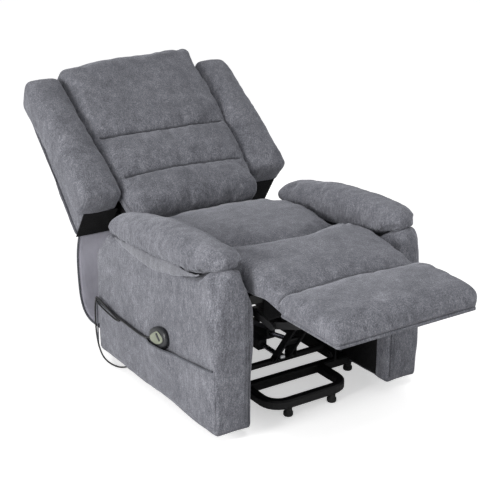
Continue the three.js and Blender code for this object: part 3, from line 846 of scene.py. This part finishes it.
def build_wing(side, sign):
    points, faces = rounded((WING_HALF, 262, 60), (22, 15, 27), step=8)
    x, up, out = points[:, 0] + WING_X, points[:, 1] + 210, points[:, 2] - 48
    level = linear(out, -110, 120)
    # its inner edge follows the cushion, so the pillow is wider at its foot
    inner = WING_X - WING_HALF - 20 * ease(up, 330, -390)
    x = WING_EDGE - (WING_EDGE - x) * (WING_EDGE - inner) / (2 * WING_HALF)
    crown = 1 - ((x - WING_X) / WING_HALF) ** 2
    out = out + level * (3 * np.sin((up + 50) / 540 * math.pi) + 7 * crown)
    # the top edge is arched, and falls back a little
    up = up + ease(up, 330, 140) * (5 * crown - 4) - 16 * ease(up, 380, 100) * (1 - level)
    out = out - 10 * ease(up, 410, 70) * level
    out = out - 5 * ease(up, 15, -60) * level
    drawn = np.c_[x * sign, up, out]
    pillow = make_shell("wing_pillow_" + side, from_back(drawn), faces, FAB)
    fill(pillow, level < 0.12, pressure=4.5, limit=8, grow=0.05)
    # boxing: the wedge between the pillow and the rear of the back
    points, faces = rounded((50, 262, 50), (9, 9, 8), step=10)
    x, up, level = points[:, 0] + 330, points[:, 1] + 209, (points[:, 2] + 50) / 100
    out = BOXING_FRONT + (1 - level) * (wing_rear(up) - BOXING_FRONT)
    drawn = np.c_[x * sign, up, out]
    return pillow, make_shell("wing_boxing_" + side, from_back(drawn), faces, FAB)


def detail_wing_pillow(points, normals):
    drawn = to_back(points)
    x, up, out = np.abs(drawn[:, 0]), drawn[:, 1], drawn[:, 2]
    move = soft(drawn, 21, large=(1.0, 120), small=(0.5, 40))
    # gathers above the foot of the wing
    foot = decay(up + 44, 28) * ease(out, -70, 30)
    fine = pleats(x, pitch=1.75, sway=1.6, sway_pitch=13) * (0.6 + 0.4 * np.sin(x / 9 + 2))
    move += 0.55 * foot * fine + 0.35 * foot * np.sin(x / 5.1 + 1.0)
    # fine ones along the outer seam
    rim = decay(out + 106, 17) * ease(x, 350, 30)
    move += 0.8 * rim * pleats(up, pitch=4.2, sway=2.2, sway_pitch=43)
    # outer seam: sunk, with painted shade in it
    return move - 1.5 * bell(out + 103, 4), 0.8 * bell(out + 103, 3.2)


def detail_wing_boxing(points, normals):
    drawn = to_back(points)
    rim = bell(drawn[:, 2] - wing_rear(drawn[:, 1]) - 9, 3)
    # rear seam: sunk, with painted shade in it
    return soft(drawn, 25, large=(1.2, 160), small=(0.4, 50)) - 1.2 * rim, 0.6 * rim


def add_wing_trim(side, sign):
    # piped seam between pillow and boxing; the dark cord is painted shade in the groove
    path = np.c_[np.full(90, sign * 389.5), np.linspace(-42, 462, 90), np.full(90, -106.5)]
    cord = tube("wing_piping_" + side, from_back(path), 2.8, SHADED_PIPING)
    mount(cord, "backrest", "chenille")
    # dust cloth that closes the foot of the wing
    inner = sign * 259.0
    corners = from_back([
        (inner, -56, -88), (sign * 384.5, -56, -88), (sign * 385.5, -62, -203), (inner, -62, -203),
    ])
    foot = dust_sheet(
        "wing_foot_cloth_" + side, corners, thick=3.0, columns=24, rows=24, ripple=1.0, seed=81
    )
    mount(foot, "backrest", "dust_cloth")


# ---------------------------------------------------------------- arms
ARM_X = 321  # middle of the arm
ARM_FRONT, ARM_REAR, ARM_BOTTOM = -400, 335, 36
ARM_LENGTH = ARM_REAR - ARM_FRONT
# heights along the arm, as (y, z): top of the arm box, top and underside of the pillow
ARM_TOP = [
    (-400, 532), (-345, 532), (-300, 499), (-150, 476), (-16, 457), (142, 467), (200, 479),
    (240, 474),
]
PAD_HIGH = [
    (-378, 560), (-369, 577), (-348, 588), (-300, 593), (-190, 595), (-100, 592), (0, 581),
    (85, 565), (142, 555), (180, 547), (210, 537), (235, 521), (258, 496), (280, 474),
]
PAD_LOW = [
    (-378, 541), (-369, 532), (-350, 526), (-325, 519), (-298, 506), (-150, 480), (-16, 464),
    (142, 466), (200, 471), (240, 468), (280, 462),
]


def arm_belly(z):
    return np.sin(linear(z, ARM_BOTTOM, 520) * math.pi) ** 0.8


def arm_bulge(y, z):
    """How far the stuffing pushes the outer side out."""
    ends = np.sin(linear(y, ARM_FRONT, ARM_LENGTH) * math.pi) ** 0.35
    return 6.5 * arm_belly(z) * (0.35 + 0.65 * ends)


def arch(x, y):
    """Rounded top of the arm's front panel."""
    t = linear(y, -350, -50)
    apex = 537 - 22 * (1 - np.sqrt(1 - t * t * 0.98))
    off = (x - 322) / 69
    inward, outward = np.clip(-off, 0, 1.05), np.clip(off, 0, 1.05)
    inner = apex - (apex - 414) * inward**2.0
    outer = apex - (1 - t * t) * 20 * outward**3 - t * t * 90 * outward**2.6
    return np.where(off < 0, inner, outer)


def build_arm_box(side, sign):
    points, faces = rounded((60, ARM_LENGTH / 2, 250), (10, 11, 9), step=9)
    x, y = points[:, 0] + ARM_X, points[:, 1] + (ARM_FRONT + ARM_REAR) / 2
    level = (points[:, 2] + 250) / 500
    # the front panel widens above the middle, more so inwards
    front = ease(y, -322, -40)
    upper = ease(level, 0.4, 0.35)
    x = x - front * linear(x, ARM_X, -60) * (2 + 9 * upper)
    x = x + front * linear(x, ARM_X, 60) * 5 * upper
    lid = curve(ARM_TOP, y) * (1 - front) + arch(x, y) * front
    z = ARM_BOTTOM + level * (lid - ARM_BOTTOM)
    # the rear edge slants forward above the middle
    rear = ARM_REAR - 95 * linear(z, 380, 95)
    y = ARM_FRONT + (y - ARM_FRONT) * (rear - ARM_FRONT) / ARM_LENGTH
    belly = arm_belly(z)
    x = x + ease(x, 330, 45) * (arm_bulge(y, z) - 0.5)
    # the outer front edge rounds off more and more toward the top
    radius = 9 + 43 * ease(z, 250, 240)
    edge = 388 + 6 * belly * front
    over_x = np.clip(x - (edge - radius), 0, None)
    over_y = np.clip(ARM_FRONT + radius - y, 0, None)
    ratio = np.maximum(over_x, over_y) / np.maximum(np.hypot(over_x, over_y), 1e-6)
    keep = np.where((over_x > 0) & (over_y > 0), ratio, 1.0)
    x, y = x - over_x * (1 - keep), y + over_y * (1 - keep)
    # soft front face
    y = y - ease(y, -370, -30) * 4 * belly * (1 - linear(np.abs(x - 322), 0, 66) ** 2)
    arm = make_shell("arm_cover_" + side, np.c_[x * sign, y, z], faces, FAB)
    relax(arm, times=2)
    return arm


def build_arm_pillow(side, sign):
    stations = np.r_[
        -290 - 87 * np.cos(np.linspace(0.10, math.pi / 2, 16)),
        np.linspace(-281, 156, 54),
        165 + 93 * np.sin(np.linspace(0.0, math.pi / 2 - 0.10, 15)),
    ]
    count = 52
    turns = np.linspace(0, 2 * math.pi, count, endpoint=False)
    cos, sin = np.cos(turns), np.sin(turns)
    rings = []
    for y in stations:
        high, low = float(curve(PAD_HIGH, y)), float(curve(PAD_LOW, y))
        to_front = np.minimum(linear(y, -290, -88), 0.999)
        to_rear = np.minimum(linear(y, 165, 94), 0.999)
        half = 68 * (1 - to_front**2.2) ** 0.5 * (1 - to_rear**2.5) ** 0.46
        half_high = max((high - low) / 2, 1.5)
        x = 331 - 7 * to_front + half * np.sign(cos) * np.abs(cos) ** (2 / 2.15)
        bow = np.sign(sin) * np.abs(sin) ** (2 / np.where(sin > 0, 2.0, 2.3))
        z = (high + low) / 2 + half_high * bow
        # inner side hangs a little lower beside the seat
        z = z - 16 * ease(x, 305, -50) * ease(sin, 0.2, -1) * (1 - to_front) * (1 - to_rear)
        rings.append(np.c_[x * sign, np.full(count, y), z])
    points, faces = ring_loft(rings)
    pillow = make_shell("arm_pillow_" + side, points, faces, FAB)
    sewn = points[:, 2] < curve(PAD_LOW, points[:, 1]) + 11
    fill(pillow, sewn, pressure=5.0, limit=7, grow=0.06, bending=0.2)
    return pillow


def build_arm_band(side, sign):
    """Smooth band sewn below the pillow, on the outer side."""
    count = 18
    turns = np.linspace(0, 2 * math.pi, count, endpoint=False)
    start, length = -312, 508
    rings = []
    for y in np.linspace(start, start + length, 70):
        along = y - start
        swell = math.sin(along / length * math.pi) ** 0.85 * (0.2 + 0.8 * min(1.0, along / 130))
        x = sign * (382 + (7.0 * swell + 0.6) * np.cos(turns))
        z = float(curve(PAD_LOW, y)) + 6 - 4 + (2 + 21 * swell) * np.sin(turns)
        rings.append(np.c_[x, np.full(count, y), z])
    return make_shell("arm_band_" + side, *ring_loft(rings), FAB_BAND)


def detail_arm_box(points, normals):
    x, y, z = np.abs(points[:, 0]), points[:, 1], points[:, 2]
    move = soft(points, 31, large=(1.3, 190), small=(0.5, 60))
    # two sewn lines on the inner return of the front panel
    first, second = np.abs(x - 270), np.abs(x - 281)
    panel = ease(y, -352, -25) * ease(z, 40, 20)
    move -= panel * (2.4 * bell(first, 3) + 1.6 * bell(second, 3))
    # painted shade along both sewn lines
    seam = panel * np.maximum(0.8 * bell(first, 2.6), 0.45 * bell(second, 2.6))
    # pulls below the band
    below = curve(ARM_TOP, y) - z
    outer = ease(x, 360, 15) * ease(y, -345, 60)
    move += outer * 1.3 * pleats(y, pitch=8.5, sway=2.0, sway_pitch=61) * decay(below - 5, 34)
    # bottom hem: sunk, with painted shade in it
    hem = bell(z - 44, 3)
    return move - 0.9 * hem, np.maximum(seam, 0.4 * hem)


def detail_arm_pillow(points, normals):
    x, y, z = np.abs(points[:, 0]), points[:, 1], points[:, 2]
    above = z - curve(PAD_LOW, y)
    move = soft(points, 41, large=(1.3, 130), small=(0.6, 42))
    # gathers rising from the outer seam
    outer = ease(x, 352, 30)
    body = ease(y, 240, -60) * ease(y, -345, 40)
    rise = outer * body * decay(above - 12, 22) * ease(above, 2, 12)
    uneven = 0.6 + 0.4 * np.sin(y / 47 + 1.0)
    move += 1.7 * rise * uneven * np.sin((y + 0.3 * above) / 2.3 + 2.6 * np.sin(y / 31))
    move += 1.2 * rise * np.sin((y + 0.6 * above) / 6.1 + 2.0 * np.sin(y / 53))
    # gathers round both ends: how strong, and the y they fan out from
    side_x = x - 326
    for end, fan_y in ((ease(y, -318, -40), -300), (ease(y, 175, 45) * 0.6, 190)):
        angle = np.arctan2(np.hypot(side_x, 0.2) * np.sign(side_x), np.abs(y - fan_y) + 12)
        folds = 1.5 * end * np.sin(angle * 15 + 1.4 * np.sin(angle * 4))
        move += folds * ease(above, 6, 14) * decay(above - 16, 26)
    # and down the inner front side
    inner = ease(x, 312, -35) * ease(y, -150, -90)
    folds = np.sin((y - 0.5 * z) / 3.6 + 1.5 * np.sin(z / 20))
    move += 1.6 * inner * folds * decay(above - 18, 32)
    # painted shade along the outer seam, and along the lower seam at the front end
    seam = 0.45 * outer * body * bell(above - 13, 3.5)
    return move, np.maximum(seam, 0.5 * ease(y, -340, -20) * bell(above, 6))


def detail_arm_band(points, normals):
    y = points[:, 1]
    folds = 0.45 * pleats(y, pitch=5.5, sway=2, sway_pitch=50)
    return 0.5 * waves(points, 60, seed=51) + folds, np.zeros(len(y))


def add_arm_inner_cloth(side, sign):
    x = sign * 259.6
    cloth = dust_sheet(
        "arm_inner_cloth_" + side, [(x, -343, 48), (x, 305, 48), (x, 300, 440), (x, -343, 450)],
        thick=1.6, columns=60, rows=36, ripple=0.5, seed=83,
    )
    mount(cloth, "chassis", "dust_cloth", "arm_inner_panel_" + side)


# ---------------------------------------------------------------- side pocket, on the right arm
HANDSET_AT, HANDSET_TURN = np.array([-100.0, 244.0]), -0.30  # middle (y, z) and turn
KEYS_AT, KEYS_TURN = np.array([-114.0, 254.5]), 0.705
POCKET_FRONT, POCKET_BOTTOM = -394, 46
# upper edge of the pocket, as (y, z)
MOUTH = [
    (-396, 247), (-361, 240), (-280, 230), (-212, 222), (-160, 221), (-110, 219), (-70, 215),
    (-35, 210), (0, 206), (160, 208), (318, 213), (331, 213),
]


def pocket_x(y, z):
    """How far out the pocket's cloth stands: flat on the arm, bulged over the handset."""
    bulge = bell(np.abs(y - HANDSET_AT[0]), 72, 3.2) * ease(z, 110, 70)
    sag = 1.4 * bell(curve(MOUTH, y) - z, 16)
    arm = 380.8 + arm_bulge(y, z)
    return arm + 3.4 + np.clip(410.5 - arm - 3.4, 0, None) * bulge + sag


def add_pocket():
    unit, faces = cube_grid(120, 40, 1)
    u, v = (unit[:, 0] + 1) / 2, (unit[:, 1] + 1) / 2
    y = POCKET_FRONT + u * 722
    z = POCKET_BOTTOM + v * (curve(MOUTH, y) - POCKET_BOTTOM)
    # 0 on the sewn edges, 1 inside
    inside = np.clip(np.minimum(np.minimum(u * 26, (1 - u) * 30), v * 9), 0, 1)
    x = pocket_x(y, z) - 5.0 * (1 - ease(inside, 0, 1))
    x = x + soft(np.c_[-x, y, z], 61, (0.9, 120), (0.5, 40)) * inside + unit[:, 2] * 0.9
    cloth = make_shell("pocket_cloth", np.c_[-x, y, z], faces, FAB)
    # painted shade along the sewn bottom and rear edges
    mark_seam_shade(cloth, 0.35 * bell(np.minimum(np.abs(z - 60), 322 - y), 3))
    mount(cloth, "chassis", "chenille", "side_pocket")

    y = np.linspace(-388, 327, 120)
    z = curve(MOUTH, y)
    x = -(pocket_x(y, z) + 0.5 - 3 * ease(y, -372, -16))
    mouth = tube("pocket_mouth_piping", np.c_[x, y, z + 1.0], 3.0, SHADED_PIPING)
    mount(mouth, "chassis", "chenille")
    path = np.c_[np.full(30, -389.0), np.full(30, 328.5), np.linspace(214, 47, 30)]
    mount(tube("pocket_rear_piping", path, 2.4, SHADED_PIPING), "chassis", "chenille")


# ---------------------------------------------------------------- handset, in the pocket
# outline of the face plate, as (y, z)
FACE_OUTLINE = [
    (-104, 270.5), (-84, 258), (-66, 243), (-62, 235.5), (-68, 228), (-82, 225), (-100, 226),
    (-120, 233), (-136, 243), (-141, 252), (-137, 261), (-124, 268), (-113, 271.5),
]


def oval(half_long, half_short, power, centre, turn):
    """Outline of a turned superellipse; a higher power is squarer."""
    angles = np.linspace(0, 2 * math.pi, 56, endpoint=False)
    cos, sin = np.cos(angles), np.sin(angles)
    along = half_long * np.sign(cos) * np.abs(cos) ** (2 / power)
    across = half_short * np.sign(sin) * np.abs(sin) ** (2 / power)
    y = centre[0] + along * math.cos(turn) - across * math.sin(turn)
    return np.c_[y, centre[1] + along * math.sin(turn) + across * math.cos(turn)]


def rounded_outline(points):
    line = np.array(points, float)
    for _ in range(3):
        after = np.roll(line, -1, 0)
        cut = [0.75 * line + 0.25 * after, 0.25 * line + 0.75 * after]
        line = np.stack(cut, 1).reshape(-1, 2)
    return line


def plate(name, outline, x_in, x_out, material, edge, dome):
    """A plate on the arm's right side, from depth x_in out to x_out, its outer edge rounded."""
    centre = outline.mean(0)
    size = np.linalg.norm(outline - centre, axis=1).min()
    rings = []

    def ring(scale, x):
        flat = centre + (outline - centre) * scale
        rings.append(np.c_[np.full(len(flat), x), flat])

    ring(1.0, x_in)
    for a in np.linspace(0, math.pi / 2, 7):
        ring(1 - (edge / size) * (1 - math.cos(a)), x_out + edge * (1 - math.sin(a)))
    for inset in (0.8, 0.55, 0.3):
        ring((1 - edge / size) * inset, x_out - dome * (1 - inset * inset))
    return make_shell(name, *ring_loft(rings), material)


def add_handset():
    shell = oval(52, 34, 2.4, HANDSET_AT, HANDSET_TURN)
    face = rounded_outline(FACE_OUTLINE)
    rim = HANDSET_AT + (face - HANDSET_AT) * 1.09
    # the two keys sit in one dark slot
    slot = oval(14.5, 5.6, 5, KEYS_AT, KEYS_TURN)
    key_step = 6.9 * np.array([math.cos(KEYS_TURN), math.sin(KEYS_TURN)])
    key_up, key_down = (
        oval(6.1, 3.9, 4, KEYS_AT + step, KEYS_TURN) for step in (key_step, -key_step)
    )
    # name, outline, x in and out, material, edge radius, dome, body, slot, CAD parts
    plates = (
        ("handset_body", shell, -386, -405, HAND, 8.0, 0.6,
         "chassis", "handset_plastic", "handset_shell"),
        ("handset_rim", rim, -402, -406.5, HAND, 1.6, 0.6, "chassis", "handset_plastic"),
        ("handset_face_plate", face, -404, -408.2, FACE, 1.5, 0.6,
         "chassis", "handset_face", "handset_face"),
        ("handset_slot_frame", slot, -405, -409.2, HAND, 0.8, 0.1, "chassis", "handset_plastic"),
        ("handset_key_up", key_up, -408.4, -410.2, BUTTON, 1.2, 0.3,
         "button_up", "button_plastic", "handset_button_up"),
        ("handset_key_down", key_down, -408.4, -410.2, BUTTON, 1.2, 0.3,
         "button_down", "button_plastic", "handset_button_down"),
    )
    for row in plates:
        mount(plate(*row[:7]), *row[7:])


# out of the handset, along the mouth, down the rear corner and under the arm, as (x, y, z)
CABLE_PATH = [
    (-394, -50, 228), (-396, -30, 217), (-397, 10, 210), (-397, 90, 212), (-397, 180, 214),
    (-396.5, 250, 219), (-395.5, 300, 228), (-394, 322, 226), (-393, 333, 205),
    (-392.5, 337, 170), (-392, 338, 120), (-391, 334, 80), (-390, 322, 46), (-389, 298, 20),
    (-384, 262, 10), (-376, 224, 10), (-366, 199, 14), (-344, 183, 22), (-312, 176, 29),
]
# a loop hanging by the mouth
LOOP_PATH = [
    (-400, 150, 209), (-401, 190, 216), (-401, 240, 227), (-400, 292, 237), (-398, 314, 235),
    (-397.5, 320, 226), (-399, 306, 217), (-401, 260, 212), (-402, 205, 207), (-402, 165, 205),
    (-400, 150, 208),
]


def add_cable():
    cable = tube("cable_main", resample(CABLE_PATH, 7), 2.9, CABLE)
    mount(cable, "chassis", "cable_jacket", "handset_cable")
    loop = tube("cable_loop", resample(LOOP_PATH, 6), 2.7, CABLE)
    mount(loop, "chassis", "cable_jacket")


# ---------------------------------------------------------------- rear of the chair
# section of the rear flap from its lower end up, as (y, z)
FLAP = [
    (377, 107), (400, 107), (424, 110), (447, 119), (466, 133), (481, 158), (490, 190),
    (495, 235), (498, 279), (496, 325), (489, 358), (480, 385), (475, 396),
]


def add_flap():
    path = resample(FLAP, 9)
    count = len(path)
    along = np.gradient(path, axis=0)
    along /= np.linalg.norm(along, axis=1)[:, None]
    normal = np.c_[along[:, 1], -along[:, 0]]
    unit, faces = cube_grid(60, count - 1, 1)
    i = np.round((unit[:, 1] + 1) / 2 * (count - 1)).astype(int)
    points = np.c_[unit[:, 0] * 372, path[i, 0], path[i, 1]]
    inside = np.clip((1 - np.abs(unit[:, 0])) * 9, 0, 1)
    off = soft(points, 71, large=(2.2, 190), small=(0.8, 70)) * inside + unit[:, 2] * 0.8
    points[:, 1:] += normal[i] * off[:, None]
    flap = make_shell("rear_flap_cloth", points, faces, LINING)
    pieces = [flap]
    for side, sign in SIDES.items():
        edge = np.c_[np.full(count, sign * 373.5), path]
        pieces.append(tube("rear_flap_piping_" + side, edge, 3.4, SHADED_PIPING))
    for piece in pieces:
        place(0, 440, 112)
        place(0, 486, 372)
        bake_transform(piece)
    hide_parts("rear_flap")


PANEL_HALF = 386  # half width of the outside of the back


def add_outside_back():
    """Outside of the back: a softly filled panel from edge to edge."""
    points, faces = rounded((PANEL_HALF, 270, 5), (14, 12, 4.5), step=12)
    x, up = points[:, 0], points[:, 1] + 209
    behind = 1 - (points[:, 2] + 5) / 10
    crown = 6 * (1 - np.abs(x / PANEL_HALF) ** 4) * np.sin(linear(up, -62, 558) * math.pi) ** 0.6
    drawn = np.c_[x, up, wing_rear(up) + 2 - behind * (5 + crown)]
    panel = make_shell("outside_back_panel", from_back(drawn), faces, FAB)
    finer(panel)

    def detail(points, normals):
        drawn = to_back(points)
        x, up, _ = drawn.T
        to_edge = np.minimum(PANEL_HALF - np.abs(x), np.minimum(up + 61, 479 - up))
        border = bell(to_edge - 9, 2.6)
        middle = bell(up - 150, 3.2)
        move = soft(drawn, 91, large=(1.3, 200), small=(0.5, 60)) - 1.2 * border - 2.2 * middle
        # both seams are sunk, with painted shade in them
        return move, np.maximum(0.6 * border, 0.8 * middle)

    sculpt(panel, detail)
    mount(panel, "backrest", "chenille", "outside_back")


# ---------------------------------------------------------------- cloths under and behind the seat
BOARD_HALF = (246.5, 129.5, 9.7)  # half sizes of the leg rest's board
BOARD_Y, BOARD_Z = -643.0, 429.2


def rectangle(half, y_first, z_first, y_last, z_last):
    return [(-half, y_first, z_first), (half, y_first, z_first),
            (half, y_last, z_last), (-half, y_last, z_last)]


def add_back_foot_lining():
    lining = dust_sheet(
        "back_foot_lining", from_back(rectangle(272.0, -40, -134, -58, -200)),
        thick=1.6, columns=50, rows=12, ripple=1.0, seed=85,
    )
    mount(lining, "backrest", "dust_cloth", "back_inner_lining")


def add_seat_apron():
    apron = dust_sheet(
        "seat_front_apron_cloth", rectangle(190, -352, 341, -352, 431),
        thick=1.8, columns=50, rows=14, ripple=0.8, seed=87,
    )
    mount(apron, "chassis", "dust_cloth", "seat_front_apron")


def add_gusset():
    """Cloth from the rear of the seat to the foot of the back frame."""
    gusset = dust_sheet(
        "seat_to_back_cloth", rectangle(226, 241, 437.5, 312, 396),
        thick=1.6, columns=50, rows=14, ripple=0.8, seed=93,
    )
    place(0, 285, 412)
    place(0, 312, 396)
    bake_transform(gusset)


def add_leg_board():
    points, faces = rounded(BOARD_HALF, (8, 8, 4), step=9)
    points += np.array([0, BOARD_Y, BOARD_Z])
    x, y, z = points.T
    to_edge = np.minimum(BOARD_HALF[0] - np.abs(x), BOARD_HALF[1] - np.abs(y - BOARD_Y))
    # the lower face is raised along its border
    lift = 8.5 * decay(to_edge - 6, 16) + 0.6 * waves(points, 90, seed=95)
    points[:, 2] += (z < 429) * lift
    board = make_shell("leg_rest_board_cloth", points, faces, FAB)
    mount(board, "leg_rest", "chenille", "leg_rest_board")


def add_seat_deck():
    deck = dust_sheet(
        "seat_deck_cloth", rectangle(228, -346, 440.3, 236, 440.3),
        thick=1.6, columns=40, rows=50, ripple=0.7, seed=89,
    )
    mount(deck, "chassis", "dust_cloth", "seat_deck")


# ---------------------------------------------------------------- build everything
seat_rear, seat_front = build_seat_rear(), build_seat_front()
back = build_back()
wings = {side: build_wing(side, sign) for side, sign in SIDES.items()}
arms = {
    side: [build(side, sign) for build in (build_arm_box, build_arm_pillow, build_arm_band)]
    for side, sign in SIDES.items()
}
run_fill()

PILLOW_LEVELS = 2
for cushion, cushion_detail in (
    (seat_rear, detail_seat_rear), (seat_front, detail_seat_front), (back, detail_back),
):
    relax(cushion, times=2)
    finer(cushion)
    sculpt(cushion, cushion_detail)
for side in SIDES:
    pillow, boxing = wings[side]
    relax(pillow, times=1)
    finer(pillow, PILLOW_LEVELS)
    sculpt(pillow, detail_wing_pillow)
    finer(boxing)
    sculpt(boxing, detail_wing_boxing)
    arm, arm_pillow, band = arms[side]
    finer(arm)
    sculpt(arm, detail_arm_box)
    relax(arm_pillow, times=1)
    finer(arm_pillow, PILLOW_LEVELS)
    sculpt(arm_pillow, detail_arm_pillow)
    finer(band)
    sculpt(band, detail_arm_band)

mount(seat_rear, "chassis", "chenille", "seat_cushion_rear")
place(0, -335, 503)
place(0, -508, 503)
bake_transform(seat_front)
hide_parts("seat_cushion_front", "seat_bridge_pad", "leg_rest_pad")
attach(back, "backrest")
# a point high up inside the back, in scene metres; nothing below uses it
back_anchor = tuple(to_scene(from_back([(0, 480, -40)]))[0])
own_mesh(back)
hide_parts("back_cushion")
for side, sign in SIDES.items():
    pillow, boxing = wings[side]
    mount(pillow, "backrest", "chenille", "back_wing_" + side)
    mount(boxing, "backrest", "chenille")
    add_wing_trim(side, sign)
    arm, arm_pillow, band = arms[side]
    mount(arm, "chassis", "chenille", "arm_box_" + side)
    mount(arm_pillow, "chassis", "chenille", "arm_pad_" + side)
    mount(band, "chassis", "chenille")
    add_arm_inner_cloth(side, sign)
add_pocket()
add_handset()
add_cable()
add_flap()
add_outside_back()
add_back_foot_lining()
add_seat_apron()
add_gusset()
add_leg_board()
add_seat_deck()

# ---------------------------------------------------------------- carried-over parts
# starts of the names, material, bevel in mm; the first match counts
FINISHES = [
    (("foot_",), RUBBER, 1.2),
    (("lift_actuator_rod", "leg_actuator_rod"), ROD, 0.8),
    (("lift_actuator_", "leg_actuator_"), PLASTIC, 2.0),
    (("control_box", "power_supply"), PLASTIC, 3.0),
    (("seat_spring",), SPRING, 0.0),
    (("",), STEEL, 0.9),
]
for name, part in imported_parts.items():
    if part.hide_render:
        continue
    material, bevel = next(row[1:] for row in FINISHES if name.startswith(row[0]))
    part.data.materials.clear()
    part.data.materials.append(material)
    if bevel:
        modifier = part.modifiers.new("edges", "BEVEL")
        modifier.width = bevel / 1000
        modifier.segments = 2
        modifier.limit_method = "ANGLE"
        modifier.angle_limit = math.radians(35)
        modifier.use_clamp_overlap = True
        modifier.harden_normals = False

# ---------------------------------------------------------------- floor, light, camera
scene = bpy.context.scene


def add_floor():
    bpy.ops.mesh.primitive_plane_add(size=30, location=(0, 0, -0.0006))
    floor = bpy.context.object
    floor.name = "floor"
    s = Shader("floor_pale", Roughness=0.85, Specular_IOR_Level=0.1)
    # it glows a little, for the camera only
    seen = s.node("ShaderNodeLightPath").outputs["Is Camera Ray"]
    s.surface.inputs["Emission Color"].default_value = (1, 1, 1, 1)
    s.put(s.surface.inputs["Emission Strength"], s.math("MULTIPLY", seen, 0.5))
    cloud = s.noise(scale=1.2, detail=2)
    color = s.ramp(cloud, [(0.3, (0.90, 0.90, 0.90)), (0.7, (0.92, 0.92, 0.92))])
    floor.data.materials.append(s.finish(color))


def add_world(light, extra_seen):
    """White surroundings of strength light, brighter by extra_seen to the camera."""
    world = bpy.data.worlds.new("studio")
    scene.world = world
    world.use_nodes = True
    tree = world.node_tree
    path = tree.nodes.new("ShaderNodeLightPath")
    strength = tree.nodes.new("ShaderNodeMath")
    strength.operation = "MULTIPLY_ADD"
    strength.inputs[1].default_value = extra_seen
    strength.inputs[2].default_value = light
    tree.links.new(path.outputs["Is Camera Ray"], strength.inputs[0])
    background = tree.nodes["Background"]
    tree.links.new(strength.outputs[0], background.inputs[1])
    background.inputs[0].default_value = (1, 1, 1, 1)


def aim(obj, direction):
    obj.rotation_mode = "QUATERNION"
    obj.rotation_quaternion = direction.to_track_quat("-Z", "Y")


def lamp(name, location, target, size, power, tint):
    light = bpy.data.lights.new(name, "AREA")
    light.shape, light.size, light.energy, light.color = "DISK", size, power, tint
    obj = bpy.data.objects.new(name, light)
    scene.collection.objects.link(obj)
    obj.location = location
    aim(obj, Vector(target) - Vector(location))


def add_camera():
    camera = bpy.data.objects.new("camera", bpy.data.cameras.new("camera"))
    scene.collection.objects.link(camera)
    scene.camera = camera
    camera.data.sensor_width, camera.data.lens = 36, 85.4
    camera.data.clip_start, camera.data.clip_end = 0.05, 60
    # it looks down from the front right: turn from straight ahead, height and roll
    turn, height, roll = math.radians(-33.68), math.radians(19.64), math.radians(0.33)
    flat = math.cos(height)
    camera.location = (-1.934, -2.896, 1.679)
    aim(camera, -Vector((math.sin(turn) * flat, -math.cos(turn) * flat, math.sin(height))))
    camera.rotation_quaternion = camera.rotation_quaternion @ Quaternion((0, 0, 1), roll)


add_floor()
add_world(light=0.55, extra_seen=0.52)
lamp("key", location=(-4.2, -0.8, 1.5), target=(0, -0.1, 0.35), size=1.7, power=158,
     tint=(1, 0.995, 0.985))
lamp("fill", location=(-0.6, -4.2, 1.6), target=(0, 0, 0.4), size=2.2, power=6,
     tint=(0.98, 0.99, 1))
lamp("top", location=(-0.3, -1.6, 2.5), target=(0, -0.6, 0.4), size=0.9, power=26,
     tint=(1, 1, 1))
add_camera()
scene.view_settings.view_transform = "Standard"
scene.view_settings.look = "None"
